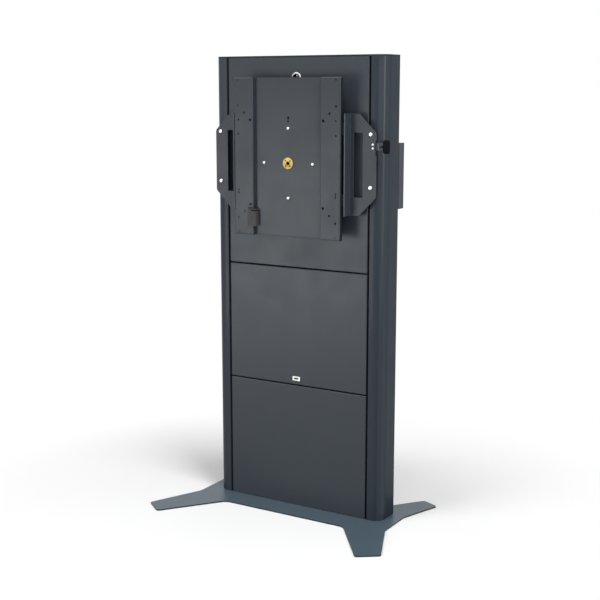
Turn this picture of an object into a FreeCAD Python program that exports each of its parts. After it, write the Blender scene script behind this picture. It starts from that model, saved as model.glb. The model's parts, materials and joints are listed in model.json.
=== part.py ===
import FreeCAD, Part
import os
import Sketcher
from FreeCAD import Placement, Rotation, Vector

# A motorized floor stand for a large flat screen. A flat column stands on a steel foot with four
# splayed legs. A carriage inside the column is driven by a screw; its two arms come out through
# full-height slots and carry two wings and the tray that the screen is bolted to.
# X is to the right seen from the front, Y to the back and Z up. All lengths are millimetres.

doc = FreeCAD.newDocument("MotorizedFloorStand")
sheet = doc.addObject("Spreadsheet::Sheet", "Sizes")

SIZES = {
    # column
    "front_setback": 11.65,
    "column_height": 1660,
    "column_width": 704,
    "column_depth": 112,
    "corner_radius": 40,
    "corner_strip": 55,
    "profile_wall": 2.5,
    "rear_bend": 6,
    "rear_return": 52,
    "slot_width": 8,
    "slot_lip": 14,
    "cap_thickness": 6,
    # front and rear panels
    "upper_gap_level": 907,
    "lower_gap_level": 469,
    "panel_gap": 4,
    "panel_end_gap": 0.5,
    "panel_sheet": 2,
    "panel_depth": 18,
    "panel_edge_round": 3,
    "rear_sheet": 2.5,
    "rear_panel_gap": 1,
    "vent_length": 60,
    "vent_width": 5,
    "vent_pitch": 14,
    "vent_top_margin": 120,
    "vent_bottom_margin": 160,
    # foot
    "base_thickness": 5,
    "front_root": 254,
    "front_overhang": 98,
    "front_tip_inner": 417,
    "front_tip_reach": 313,
    "front_tip_outer": 490,
    "front_tip_outer_reach": 260,
    "waist_half_width": 401,
    "front_waist": 55,
    "rear_waist": 94,
    "rear_tip_outer": 458,
    "rear_tip_outer_reach": 260,
    "rear_tip_inner": 394,
    "rear_tip_reach": 288,
    "rear_root": 278,
    "rear_overhang": 28,
    "tip_round": 11,
    "waist_round": 24,
    "root_round": 42,
    "foot_plate_thickness": 8,
    "foot_plate_margin": 8,
    "base_bolt_radius": 4,
    "base_bolt_head": 7,
    "base_bolt_head_height": 5,
    "base_bolt_pitch": 34,
    # inner frame
    "front_upright_width": 40,
    "front_upright_depth": 20,
    "front_upright_gap": 7,
    "rear_upright_width": 70,
    "rear_upright_depth": 37,
    "rear_upright_lap": 15,
    "tube_wall": 2,
    "crossbeam_height": 40,
    "crossbeam_drop": 10,
    "magnet_width": 20,
    "magnet_height": 12,
    "magnet_inset": 40,
    # guides
    "rail_offset": 23,
    "rail_head_width": 16,
    "rail_head_depth": 8,
    "rail_neck_width": 8,
    "rail_neck_depth": 4,
    "rail_end_gap": 30,
    "glide_width": 40,
    "glide_length": 60,
    "glide_web": 10.5,
    "glide_clearance": 0.3,
    "glide_back_gap": 0.9,
    "glide_spacing": 260,
    # drive
    "screw_radius": 10,
    "journal_radius": 8,
    "running_clearance": 0.06,
    "screw_offset": 28,
    "coupling_radius": 16,
    "coupling_length": 40,
    "end_float": 0.3,
    "gearbox_width": 150,
    "gearbox_depth": 48,
    "gearbox_height": 60,
    "gearbox_round": 8,
    "motor_radius": 24,
    "motor_length": 150,
    "motor_offset": 62,
    "motor_cap_step": 3,
    "motor_cap_height": 12,
    "nut_width": 60,
    "nut_depth": 50,
    "nut_height": 70,
    "bearing_block_width": 60,
    "bearing_block_depth": 44,
    "bearing_block_height": 24,
    "lift_travel": 500,
    "switch_width": 20,
    "switch_depth": 18,
    "switch_height": 50,
    "switch_gap": 6,
    # carriage
    "display_drop": 373.4,
    "carriage_height": 340,
    "carriage_sheet": 5,
    "carriage_side_gap": 5,
    "plate_window_width": 150,
    "plate_window_height": 110,
    "arm_sheet": 5,
    "arm_flange": 34,
    "arm_margin": 30,
    "arm_bend": 2,
    "lug_height": 34,
    "lug_thickness": 4,
    "lug_reach": 32,
    "arm_bolt_radius": 4,
    "arm_bolt_head": 6.5,
    "arm_bolt_head_height": 4,
    "arm_bolt_inset": 10,
    "arm_bolt_spacing": 80,
    "wing_front": 23,
    "wing_sheet": 4,
    "wing_flange": 37,
    "wing_overhang": 38,
    "wing_height": 351,
    "wing_chamfer": 66,
    "wing_corner_round": 14,
    "wing_bend": 2,
    "wing_outer_bend": 4,
    "window_inner": 14,
    "window_width": 36,
    "window_height": 222,
    "window_round": 3,
    "wing_bolt_offset": 17,
    "wing_bolt_rise": 105.7,
    "wing_bolt_drop": 75.4,
    "wing_bolt_radius": 4,
    "wing_bolt_head": 7,
    "wing_bolt_head_height": 4.5,
    "wing_nut_radius": 7.2,
    "nut_thickness": 6.5,
    # screen tray
    "tray_front": 70.4,
    "tray_recess": 14.9,
    "tray_sheet": 2.5,
    "tray_bend": 4,
    "tray_return": 14.4,
    "tray_side_gap": 8,
    "tray_edge_margin": 18,
    "tray_top_margin": 98,
    "tray_bottom_margin": 60,
    "recess_margin": 12.3,
    "small_pattern": 300,
    "middle_pattern": 350,
    "large_pattern": 400,
    "small_hole_radius": 4.25,
    "large_hole_radius": 3.3,
    "extra_hole_radius": 2.5,
    "extra_hole_rise": 100,
    "extra_hole_inset": 10,
    "side_hole_radius": 3,
    "key_hole_radius": 2.8,
    "key_hole_gap": 3.9,
    "key_slot_width": 5.5,
    "key_slot_height": 10,
    "key_slot_round": 2.5,
    "key_slot_spacing": 11.5,
    "channel_spacing": 245,
    "channel_height": 40,
    "channel_depth": 30,
    "channel_sheet": 3,
    "centre_plate_width": 250,
    "centre_plate_sheet": 4,
    "tray_screw_spacing": 200,
    "tray_screw_radius": 3,
    "tray_screw_head": 5.2,
    "tray_screw_head_height": 3.5,
    "tray_screw_length": 12,
    "bush_flange_radius": 21,
    "bush_flange": 3,
    "bush_chamfer": 1,
    "bush_radius": 13.8,
    "bush_bore_radius": 5,
    "bush_length": 13.5,
    "bush_dimple_radius": 2.2,
    "bush_dimple_depth": 1,
    "bush_dimple_offset": 9,
    "hole_clearance": 0.2,
    # corner block on the tray
    "block_left": 22,
    "block_right": 12,
    "block_proud": 4.6,
    "block_height": 61,
    "block_rise": 31.5,
    "block_round": 8,
    "block_groove_height": 4,
    "block_groove_depth": 4,
    "block_lip": 2.5,
    "block_groove_start": 7,
    "block_slot_gap": 1.5,
    "block_slot_height": 5,
    "block_slot_right": 9.5,
    # clamp knob and its bracket
    "bracket_sheet": 2.5,
    "bracket_height": 26,
    "bracket_lap": 22,
    "bracket_reach": 22,
    "bracket_forward": 26,
    "bracket_screw_radius": 2,
    "bracket_screw_head": 3.8,
    "bracket_screw_spacing": 13,
    "bracket_screw_inset": 13,
    "bracket_rise": 65.4,
    "notch_depth": 4,
    "notch_above": 20,
    "notch_below": 31,
    "knob_forward": 13,
    "knob_reach": 11.3,
    "knob_length": 45.5,
    "knob_width": 18.5,
    "knob_thickness": 20.5,
    "knob_corner_round": 8,
    "knob_edge_round": 3.5,
    "knob_hub_radius": 5.5,
    "knob_hub_length": 4,
    "stud_radius": 3,
    "stud_tail": 5,
    "stud_socket_depth": 14,
    # cable outlet and badge plate on the front panels
    "outlet_drop": 77,
    "outlet_radius": 19.5,
    "outlet_bore_radius": 10,
    "outlet_collar_radius": 14.5,
    "outlet_proud": 3,
    "outlet_chamfer": 1.5,
    "outlet_depth": 14,
    "badge_width": 32,
    "badge_height": 16,
    "badge_thickness": 2,
    "badge_round": 3,
    "badge_rise": 17,
    "badge_recess_width": 18,
    "badge_recess_height": 7,
    "badge_recess_depth": 0.8,
    # equipment box and power inlet at the back
    "rear_box_width": 240,
    "rear_box_height": 230,
    "rear_box_drop": 416,
    "rear_box_depth": 21,
    "rear_lid_depth": 16,
    "rear_box_wall": 2,
    "control_unit_margin": 24,
    "control_unit_depth": 26,
    "inlet_offset": 170,
    "inlet_level": 100,
    "inlet_flange_width": 56,
    "inlet_flange_height": 32,
    "inlet_flange_thickness": 3,
    "inlet_width": 40,
    "inlet_height": 24,
    "inlet_depth": 26,
    "inlet_wall": 2.5,
    "inlet_chamfer": 6,
    "contact_length": 14,
    "contact_width": 2,
    "contact_height": 5,
    "contact_pitch": 7,
    "contact_rise": 2,
    "rear_screw_radius": 2.5,
    "rear_screw_head": 4.5,
    "rear_screw_head_height": 2,
    "rear_screw_inset": 16,
    "rear_screw_end_inset": 32,
}

for row, (alias, length) in enumerate(SIZES.items(), 1):
    sheet.set("A%d" % row, alias.replace("_", " "))
    sheet.set("B%d" % row, str(length))
    sheet.setAlias("B%d" % row, alias)
doc.recompute()


class Size:
    """A length: its number, and the sheet expression that gives it."""

    def __init__(self, number, text):
        self.number = float(number)
        self.text = text

    def joined(self, sign, other, number):
        return Size(number, "(%s %s %s)" % (self.text, sign, other.text))

    def __add__(self, other):
        other = as_size(other)
        return self.joined("+", other, self.number + other.number)

    def __sub__(self, other):
        other = as_size(other)
        return self.joined("-", other, self.number - other.number)

    def __mul__(self, other):
        other = as_size(other)
        return self.joined("*", other, self.number * other.number)

    def __truediv__(self, other):
        other = as_size(other)
        return self.joined("/", other, self.number / other.number)

    def __neg__(self):
        return Size(-self.number, "(0 - %s)" % self.text)

    __radd__ = __add__
    __rmul__ = __mul__

    def __rsub__(self, other):
        return as_size(other) - self


def as_size(value):
    """Any plain number as a Size."""
    if isinstance(value, Size):
        return value
    return Size(value, "(%s)" % repr(float(value)))


def size(alias):
    """The named length from the sheet."""
    return Size(float(sheet.get(alias)), "Sizes." + alias)


nodes = {}

# how far a cutting or fused solid runs past the face it meets
LAP = 1

# vent slots in each row of the rear panel
VENTS = 5


def keep(label, item):
    """Register an object as one piece of the stand, under its plain name."""
    item.Label = label
    nodes[label] = item
    return item


def bind(item, prop, value):
    """Tie a property to its sheet expression."""
    item.setExpression(prop, as_size(value).text)


# primitives

AXIS_TURN = {
    "x": Rotation(Vector(0, 1, 0), 90),
    "y": Rotation(Vector(1, 0, 0), -90),
    "z": Rotation(),
}


def box(name, x, y, z):
    """A block between two limits along each axis."""
    item = doc.addObject("Part::Box", name)
    for prop, axis, limits in (("Length", "x", x), ("Width", "y", y), ("Height", "z", z)):
        bind(item, prop, as_size(limits[1]) - limits[0])
        bind(item, "Placement.Base." + axis, limits[0])
    return item


def place_along(item, axis, start, centre):
    """Turn an item's own Z to an axis and put its foot at start, beside the given centre."""
    item.Placement = Placement(Vector(), AXIS_TURN[axis])
    others = [letter for letter in "xyz" if letter != axis]
    bind(item, "Placement.Base." + axis, start)
    for letter, value in zip(others, centre):
        bind(item, "Placement.Base." + letter, value)


def rod(name, axis, start, end, radius, centre):
    """A cylinder along an axis, from start to end, with its centre in the other two directions."""
    item = doc.addObject("Part::Cylinder", name)
    bind(item, "Radius", radius)
    bind(item, "Height", as_size(end) - start)
    place_along(item, axis, start, centre)
    return item


def hexagon(name, axis, start, end, radius, centre):
    """A six-sided prism along an axis."""
    item = doc.addObject("Part::Prism", name)
    item.Polygon = 6
    bind(item, "Circumradius", radius)
    bind(item, "Height", as_size(end) - start)
    place_along(item, axis, start, centre)
    return item


def fuse(name, items):
    item = doc.addObject("Part::MultiFuse", name)
    item.Shapes = items
    item.Refine = True
    return item


def cut(name, base, tools):
    item = doc.addObject("Part::Cut", name)
    item.Base = base
    if len(tools) == 1:
        item.Tool = tools[0]
    else:
        item.Tool = fuse(name + "_tools", tools)
    return item


def group(name, items):
    """Equal fasteners as separate solids in one piece group."""
    item = doc.addObject("Part::Compound", name)
    item.Links = items
    return item


def shrunk(limits, margin):
    """Two limits drawn in by the same margin."""
    return limits[0] + margin, limits[1] - margin


def tube(name, x, y, z, wall):
    """An upright rectangular tube, open at both ends."""
    outer = box(name + "_outer", x, y, z)
    inner = box(name + "_inner", shrunk(x, wall), shrunk(y, wall), z)
    return cut(name, outer, [inner])


# sketched bodies

def new_body(label, y=None, x=None, z=None):
    """A body that counts as one piece, with its origin at the given place."""
    item = keep(label, doc.addObject("PartDesign::Body", label))
    for axis, value in (("x", x), ("y", y), ("z", z)):
        if value is not None:
            bind(item, "Placement.Base." + axis, value)
    return item


def new_sketch(item, role, name, level=0):
    """A sketch on one of the body's own origin planes, moved along the plane's normal by level."""
    plane = [feature for feature in item.Origin.OriginFeatures if feature.Role == role][0]
    sketch = item.newObject("Sketcher::SketchObject", item.Name + "_" + name)
    sketch.AttachmentSupport = [(plane, "")]
    sketch.MapMode = "FlatFace"
    bind(sketch, "AttachmentOffset.Base.z", level)
    return sketch


def fix_point(sketch, index, position, x, y):
    """Hold one point of a curve at a place given by two sizes."""
    for kind, value in (("DistanceX", as_size(x)), ("DistanceY", as_size(y))):
        number = sketch.addConstraint(Sketcher.Constraint(kind, -1, 1, index, position, value.number))
        sketch.setExpression("Constraints[%d]" % number, value.text)


def add_outline(sketch, points):
    """A closed outline of straight lines through the given points."""
    first = sketch.GeometryCount
    corners = [Vector(as_size(x).number, as_size(y).number, 0) for x, y in points]
    following = corners[1:] + corners[:1]
    for corner, after in zip(corners, following):
        sketch.addGeometry(Part.LineSegment(corner, after), False)
    for index in range(len(corners)):
        after = first + (index + 1) % len(corners)
        sketch.addConstraint(Sketcher.Constraint("Coincident", first + index, 2, after, 1))
    for index, (x, y) in enumerate(points):
        fix_point(sketch, first + index, 1, x, y)


def add_rectangle(sketch, x, y):
    add_outline(sketch, [(x[0], y[0]), (x[1], y[0]), (x[1], y[1]), (x[0], y[1])])


def add_circle(sketch, x, y, radius):
    centre = Vector(as_size(x).number, as_size(y).number, 0)
    radius = as_size(radius)
    index = sketch.addGeometry(Part.Circle(centre, Vector(0, 0, 1), radius.number), False)
    number = sketch.addConstraint(Sketcher.Constraint("Radius", index, radius.number))
    sketch.setExpression("Constraints[%d]" % number, radius.text)
    fix_point(sketch, index, 3, x, y)


def pad(item, sketch, length, reverse=False, symmetric=False):
    feature = item.newObject("PartDesign::Pad", sketch.Name + "_pad")
    feature.Profile = sketch
    feature.Reversed = reverse
    if symmetric:
        feature.SideType = "Symmetric"
    bind(feature, "Length", length)
    sketch.Visibility = False
    doc.recompute()
    return feature


def pocket(item, sketch, length=None, symmetric=True, reverse=False):
    """Cut a sketch through the body, all the way or to a depth, and check that it did cut."""
    before = item.Tip.Shape.Volume
    feature = item.newObject("PartDesign::Pocket", sketch.Name + "_cut")
    feature.Profile = sketch
    feature.Reversed = reverse
    if length is None:
        feature.Type = "ThroughAll"
    else:
        bind(feature, "Length", length)
    if symmetric:
        feature.SideType = "Symmetric"
    sketch.Visibility = False
    doc.recompute()
    if feature.Shape.Volume >= before:
        raise RuntimeError(sketch.Name + " cuts nothing")
    return feature


def edges_along(feature, axis, places):
    """Names of the straight edges along an axis that stand at the given places."""
    keep_axes = [index for index, letter in enumerate("xyz") if letter != axis]
    wanted = [tuple(as_size(value).number for value in place) for place in places]
    names = []
    for number, edge in enumerate(feature.Shape.Edges, 1):
        if len(edge.Vertexes) < 2:
            continue
        first, last = edge.Vertexes[0].Point, edge.Vertexes[-1].Point
        spot = tuple((first[index] + last[index]) / 2 for index in keep_axes)
        across = max(abs(first[index] - last[index]) for index in keep_axes)
        if across > 0.001:
            continue
        if any(abs(spot[0] - u) < 0.01 and abs(spot[1] - v) < 0.01 for u, v in wanted):
            names.append("Edge%d" % number)
    return names


def round_edges(item, axis, places, radius):
    """Round the edges along an axis that stand at the given places."""
    base = item.Tip
    names = edges_along(base, axis, places)
    if not names:
        raise RuntimeError(item.Label + " has no edge to round")
    feature = item.newObject("PartDesign::Fillet", "%s_round%d" % (item.Name, len(item.Group)))
    feature.Base = (base, names)
    bind(feature, "Radius", radius)
    base.Visibility = False
    doc.recompute()
    return feature


def revolve(item, sketch):
    """Turn a sketch a full turn about its own vertical axis."""
    feature = item.newObject("PartDesign::Revolution", sketch.Name + "_turned")
    feature.Profile = sketch
    feature.ReferenceAxis = (sketch, ["V_Axis"])
    feature.Angle = 360
    sketch.Visibility = False
    doc.recompute()
    return feature


# places that several pieces share

front = size("front_setback")
half_width = size("column_width") / 2
depth = size("column_depth")
slot_outer = half_width - size("corner_strip")
slot_inner = slot_outer - size("slot_width")
slot_middle = slot_outer - size("slot_width") / 2
floor_top = size("base_thickness")
cap_level = size("column_height") - size("cap_thickness")
outlet_level = size("column_height") - size("outlet_drop")
rear_box_level = size("column_height") - size("rear_box_drop")
wall = size("profile_wall")

upright_front = depth - size("rear_sheet") - size("rear_upright_depth")
rail_x = slot_middle - size("rail_offset")
upright_inner = rail_x - size("rear_upright_lap")
upright_outer = upright_inner + size("rear_upright_width")
upright_foot = floor_top + size("foot_plate_thickness")
rail_front = upright_front - size("rail_neck_depth") - size("rail_head_depth")
plate_rear = rail_front - size("glide_web")
plate_front = plate_rear - size("carriage_sheet")
arm_flange_front = plate_front - size("arm_sheet")
screw_y = plate_rear + size("screw_offset")

centre = size("column_height") - size("display_drop")
wing_face = -size("wing_front")
wing_back = wing_face + size("wing_sheet")
tray_half = size("large_pattern") / 2 + size("tray_edge_margin")
recess_half = size("small_pattern") / 2 - size("recess_margin")
flange_face = -size("tray_front")
middle_face = flange_face + size("tray_recess")
middle_back = middle_face + size("tray_sheet")
tray_top = centre + size("large_pattern") / 2 + size("tray_top_margin")
tray_bottom = centre - size("large_pattern") / 2 - size("tray_bottom_margin")
wing_inner = tray_half + size("tray_side_gap")
wing_outer = slot_middle + size("wing_overhang")
wing_top = centre + size("wing_height") / 2
wing_bottom = centre - size("wing_height") / 2
wing_bolt_x = slot_middle + size("wing_bolt_offset")
wing_bolt_levels = (centre + size("wing_bolt_rise"), centre - size("wing_bolt_drop"))
bolt_hole = size("wing_bolt_radius") + size("hole_clearance")


# the foot

def make_base_plate():
    """One flat plate with four splayed legs, lying on the floor."""
    item = new_body("base_plate", y=front)
    corners = [
        (size("front_root"), -size("front_overhang")),
        (size("front_tip_inner"), -size("front_tip_reach")),
        (size("front_tip_outer"), -size("front_tip_outer_reach")),
        (size("waist_half_width"), -size("front_waist")),
        (size("waist_half_width"), size("rear_waist")),
        (size("rear_tip_outer"), size("rear_tip_outer_reach")),
        (size("rear_tip_inner"), size("rear_tip_reach")),
        (size("rear_root"), depth + size("rear_overhang")),
    ]
    mirrored = [(-x, y) for x, y in reversed(corners)]
    sketch = new_sketch(item, "XY_Plane", "outline")
    add_outline(sketch, corners + mirrored)
    pad(item, sketch, size("base_thickness"))
    tips = [corners[index] for index in (1, 2, 5, 6)]
    waists = [corners[index] for index in (3, 4)]
    roots = [corners[index] for index in (0, 7)]
    round_edges(item, "z", tips + [(-x, y) for x, y in tips], size("tip_round"))
    round_edges(item, "z", waists + [(-x, y) for x, y in waists], size("waist_round"))
    round_edges(item, "z", roots + [(-x, y) for x, y in roots], size("root_round"))
    holes = new_sketch(item, "XY_Plane", "bolt_holes")
    for x, y in base_bolt_places():
        add_circle(holes, x, y, size("base_bolt_radius") + size("running_clearance"))
    pocket(item, holes)


def base_bolt_places():
    """Three bolts under each side of the column, in line behind the front uprights."""
    row_y = (size("panel_depth") + size("front_upright_depth") + upright_front) / 2
    middle = (foot_plate_limits()[0] + foot_plate_limits()[1]) / 2
    places = []
    for side in (-1, 1):
        for step in (-1, 0, 1):
            places.append(((middle + step * size("base_bolt_pitch")) * side, row_y))
    return places


def foot_plate_limits():
    inner = front_upright_limits()[0] - size("foot_plate_margin")
    return inner, upright_outer + size("foot_plate_margin")


def front_upright_limits():
    outer = slot_inner - size("front_upright_gap")
    return outer - size("front_upright_width"), outer


def mirrored_limits(side, limits):
    """Limits on the right side, or the same ones mirrored to the left."""
    if side > 0:
        return limits
    return -limits[1], -limits[0]


def make_foot_plate(name, side):
    x = mirrored_limits(side, foot_plate_limits())
    y = (front + size("panel_depth"), front + depth - size("rear_sheet"))
    plate = box(name + "_sheet", x, y, (floor_top, upright_foot))
    holes = []
    for index, (bolt_x, bolt_y) in enumerate(base_bolt_places()):
        if bolt_x.number * side > 0:
            radius = size("base_bolt_radius") + size("hole_clearance")
            where = (bolt_x, front + bolt_y)
            title = "%s_hole%d" % (name, index)
            holes.append(rod(title, "z", floor_top - LAP, upright_foot + LAP, radius, where))
    keep(name, cut(name, plate, holes))


def make_base_bolts():
    bolts = []
    for index, (x, y) in enumerate(base_bolt_places()):
        where = (x, front + y)
        name = "base_bolt%d" % index
        head_top = upright_foot + size("base_bolt_head_height")
        head = hexagon(name + "_head", "z", upright_foot, head_top, size("base_bolt_head"), where)
        end = size("end_float")
        shank = rod(name + "_shank", "z", end, upright_foot + LAP, size("base_bolt_radius"), where)
        bolts.append(fuse(name, [head, shank]))
    keep("base_bolts", group("base_bolt_group", bolts))


# column shell

def make_side_profile(name, side):
    """Full-height profile: a front strip, a large rounded corner, the side and a rear return."""
    item = new_body(name, y=front, z=floor_top)
    inner_side = half_width - wall
    rear_end = half_width - size("rear_return")
    points = [
        (slot_outer, 0),
        (half_width, 0),
        (half_width, depth),
        (rear_end, depth),
        (rear_end, depth - wall),
        (inner_side, depth - wall),
        (inner_side, wall),
        (slot_outer + wall, wall),
        (slot_outer + wall, size("slot_lip")),
        (slot_outer, size("slot_lip")),
    ]
    sketch = new_sketch(item, "XY_Plane", "section")
    add_outline(sketch, [(x * side, y) for x, y in points])
    pad(item, sketch, cap_level - floor_top)
    round_edges(item, "z", [(half_width * side, 0)], size("corner_radius"))
    round_edges(item, "z", [(inner_side * side, wall)], size("corner_radius") - wall)
    round_edges(item, "z", [(half_width * side, depth)], size("rear_bend"))
    round_edges(item, "z", [(inner_side * side, depth - wall)], size("rear_bend") - wall)


def make_top_cap():
    """Flat plate with the column's own plan outline."""
    item = new_body("top_cap", y=front, z=cap_level)
    sketch = new_sketch(item, "XY_Plane", "outline")
    add_rectangle(sketch, (-half_width, half_width), (as_size(0), depth))
    pad(item, sketch, size("cap_thickness"))
    round_edges(item, "z", [(-half_width, 0), (half_width, 0)], size("corner_radius"))
    round_edges(item, "z", [(-half_width, depth), (half_width, depth)], size("rear_bend"))


def panel_levels():
    """Lower and upper edge of the three front panels."""
    gap = size("panel_gap") / 2
    end_gap = size("panel_end_gap")
    return {
        "lower_front_panel": (floor_top + end_gap, size("lower_gap_level") - gap),
        "middle_front_panel": (size("lower_gap_level") + gap, size("upper_gap_level") - gap),
        "upper_front_panel": (size("upper_gap_level") + gap, cap_level - end_gap),
    }


def make_front_panel(name, low, high):
    """A sheet with all four edges folded back, rounded at its sides and at the seams."""
    item = new_body(name, y=front)
    sketch = new_sketch(item, "XZ_Plane", "face")
    add_rectangle(sketch, (-slot_inner, slot_inner), (low, high))
    pad(item, sketch, size("panel_depth"), reverse=True)
    seams = {"lower_front_panel": [high], "upper_front_panel": [low]}.get(name, [low, high])
    round_edges(item, "x", [(0, level) for level in seams], size("panel_edge_round"))
    round_edges(item, "z", [(-slot_inner, 0), (slot_inner, 0)], size("panel_edge_round"))
    sheet_wall = size("panel_sheet")
    inside = new_sketch(item, "XZ_Plane", "inside", -sheet_wall)
    inner = slot_inner - sheet_wall
    add_rectangle(inside, (-inner, inner), (low + sheet_wall, high - sheet_wall))
    pocket(item, inside, symmetric=False)
    if name == "upper_front_panel":
        hole = new_sketch(item, "XZ_Plane", "outlet_hole")
        add_circle(hole, 0, outlet_level, size("outlet_collar_radius") + size("hole_clearance"))
        pocket(item, hole)


def vent_levels():
    """A row of slots near the top and one near the bottom of the rear panel."""
    levels = []
    for index in range(VENTS):
        levels.append(cap_level - size("vent_top_margin") + size("vent_pitch") * index)
        levels.append(floor_top + size("vent_bottom_margin") + size("vent_pitch") * index)
    return levels


def rear_screw_places():
    places = []
    inset = half_width - size("rear_return") - size("rear_screw_inset")
    low = floor_top + size("rear_screw_end_inset")
    high = cap_level - size("rear_screw_end_inset")
    for x in (-inset, inset):
        for level in (low, (low + high) / 2, high):
            places.append((x, level))
    return places


def make_rear_panel():
    item = new_body("rear_panel", y=front)
    reach = half_width - size("rear_return") - size("rear_panel_gap")
    gap = size("rear_panel_gap")
    sketch = new_sketch(item, "XZ_Plane", "face", -depth)
    add_rectangle(sketch, (-reach, reach), (floor_top + gap, cap_level - gap))
    pad(item, sketch, size("rear_sheet"))
    openings = new_sketch(item, "XZ_Plane", "openings")
    for level in vent_levels():
        for column in (-1, 1):
            x = size("vent_length") * column
            span = size("vent_length") / 2
            add_rectangle(openings, (x - span, x + span), (level, level + size("vent_width")))
    for x, z in rear_screw_places():
        add_circle(openings, x, z, size("rear_screw_radius") + size("hole_clearance"))
    add_outline(openings, inlet_outline(-size("hole_clearance"), -size("inlet_offset"), size("inlet_level")))
    pocket(item, openings)


def inlet_outline(inset, x, z):
    """Outline of the inlet's housing: a rectangle without its two upper corners, drawn in by inset."""
    across = size("inlet_width") / 2 - inset
    up = size("inlet_height") / 2 - inset
    chamfer = size("inlet_chamfer") - as_size(inset) / 2
    return [
        (x - across, z - up),
        (x + across, z - up),
        (x + across, z + up - chamfer),
        (x + across - chamfer, z + up),
        (x - across + chamfer, z + up),
        (x - across, z + up - chamfer),
    ]


def make_rear_screws():
    screws = []
    for index, (x, z) in enumerate(rear_screw_places()):
        name = "rear_screw%d" % index
        face = front + depth
        head_end = face + size("rear_screw_head_height")
        head = rod(name + "_head", "y", face, head_end, size("rear_screw_head"), (x, z))
        tip = face - size("rear_sheet")
        shank = rod(name + "_shank", "y", tip, face + LAP, size("rear_screw_radius"), (x, z))
        screws.append(fuse(name, [head, shank]))
    keep("rear_panel_screws", group("rear_screw_group", screws))


# inner frame

def make_front_upright(name, side):
    x = mirrored_limits(side, front_upright_limits())
    low = front + size("panel_depth")
    y = (low, low + size("front_upright_depth"))
    keep(name, tube(name, x, y, (upright_foot, cap_level), size("tube_wall")))


def make_rear_upright(name, side):
    x = mirrored_limits(side, (upright_inner, upright_outer))
    y = (front + upright_front, front + depth - size("rear_sheet"))
    keep(name, tube(name, x, y, (upright_foot, cap_level), size("tube_wall")))


def make_crossbeam(name, low):
    """A tube between the two rear uprights."""
    span = (-upright_inner, upright_inner)
    y = (front + upright_front, front + depth - size("rear_sheet"))
    z = (low, low + size("crossbeam_height"))
    beam_wall = size("tube_wall")
    outer = box(name + "_outer", span, y, z)
    inner = box(name + "_inner", span, shrunk(y, beam_wall), shrunk(z, beam_wall))
    keep(name, cut(name, outer, [inner]))


def make_panel_magnets():
    """Block magnets that hold the front panels to the front uprights."""
    magnets = []
    inner, outer = front_upright_limits()
    across = size("magnet_width") / 2
    up = size("magnet_height") / 2
    y = (front + size("panel_sheet"), front + size("panel_depth"))
    for name, (low, high) in panel_levels().items():
        for side in (-1, 1):
            middle = (inner + outer) / 2 * side
            for end, level in (("low", low + size("magnet_inset")), ("high", high - size("magnet_inset"))):
                title = "magnet_%s_%s_%d" % (name, end, side + 1)
                x = (middle - across, middle + across)
                magnets.append(box(title, x, y, (level - up, level + up)))
    keep("panel_magnets", group("magnet_group", magnets))


def make_guide_rail(name, side):
    """A T-shaped rail on the front of the rear upright."""
    low = upright_foot + size("rail_end_gap")
    high = cap_level - size("rail_end_gap")
    item = new_body(name, x=rail_x * side, y=front, z=low)
    head = size("rail_head_width") / 2
    neck = size("rail_neck_width") / 2
    head_back = rail_front + size("rail_head_depth")
    right = [(head, rail_front), (head, head_back), (neck, head_back), (neck, upright_front)]
    sketch = new_sketch(item, "XY_Plane", "section")
    add_outline(sketch, right + [(-x, y) for x, y in reversed(right)])
    pad(item, sketch, high - low)


def make_glide(name, side, level):
    """A block that wraps round the head of the guide rail."""
    item = new_body(name, x=rail_x * side, y=front, z=level - size("glide_length") / 2)
    gap = size("glide_clearance")
    outer = size("glide_width") / 2
    head = size("rail_head_width") / 2 + gap
    neck = size("rail_neck_width") / 2 + gap
    head_back = rail_front + size("rail_head_depth") + gap
    back = upright_front - size("glide_back_gap")
    right = [
        (outer, plate_rear),
        (outer, back),
        (neck, back),
        (neck, head_back),
        (head, head_back),
        (head, rail_front - gap),
    ]
    sketch = new_sketch(item, "XY_Plane", "section")
    add_outline(sketch, right + [(-x, y) for x, y in reversed(right)])
    pad(item, sketch, size("glide_length"))


# drive

gearbox_foot = upright_foot + size("crossbeam_height")
gearbox_top = gearbox_foot + size("gearbox_height")
top_beam_low = cap_level - size("crossbeam_drop") - size("crossbeam_height")
screw_place = (as_size(0), front + screw_y)
coupling_low = gearbox_top + size("end_float")
coupling_high = coupling_low + size("coupling_length")
bearing_low = top_beam_low - size("bearing_block_height")


def make_gearbox():
    item = new_body("gearbox", y=front + screw_y, z=gearbox_foot)
    left = size("gearbox_depth")
    half_depth = size("gearbox_depth") / 2
    sketch = new_sketch(item, "XY_Plane", "section")
    add_rectangle(sketch, (-left, size("gearbox_width") - left), (-half_depth, half_depth))
    pad(item, sketch, size("gearbox_height"))
    corners = []
    for x in (-left, size("gearbox_width") - left):
        corners.extend([(x, -half_depth), (x, half_depth)])
    round_edges(item, "z", corners, size("gearbox_round"))


def make_motor():
    where = (size("motor_offset"), front + screw_y)
    top = gearbox_top + size("motor_length")
    barrel = rod("motor_barrel", "z", gearbox_top, top, size("motor_radius"), where)
    cap_radius = size("motor_radius") - size("motor_cap_step")
    cap = rod("motor_cap", "z", top - LAP, top + size("motor_cap_height"), cap_radius, where)
    keep("lift_motor", fuse("motor_fused", [barrel, cap]))


def make_screw():
    journal = size("journal_radius")
    foot = coupling_low + size("end_float")
    body_low = coupling_high + size("end_float")
    lower = rod("screw_lower_journal", "z", foot, body_low + LAP, journal, screw_place)
    body_top = bearing_low - size("end_float")
    body = rod("screw_body", "z", body_low, body_top, size("screw_radius"), screw_place)
    upper_end = top_beam_low - size("end_float")
    upper = rod("screw_upper_journal", "z", body_top - LAP, upper_end, journal, screw_place)
    keep("lift_screw", fuse("screw_fused", [lower, body, upper]))


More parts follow.
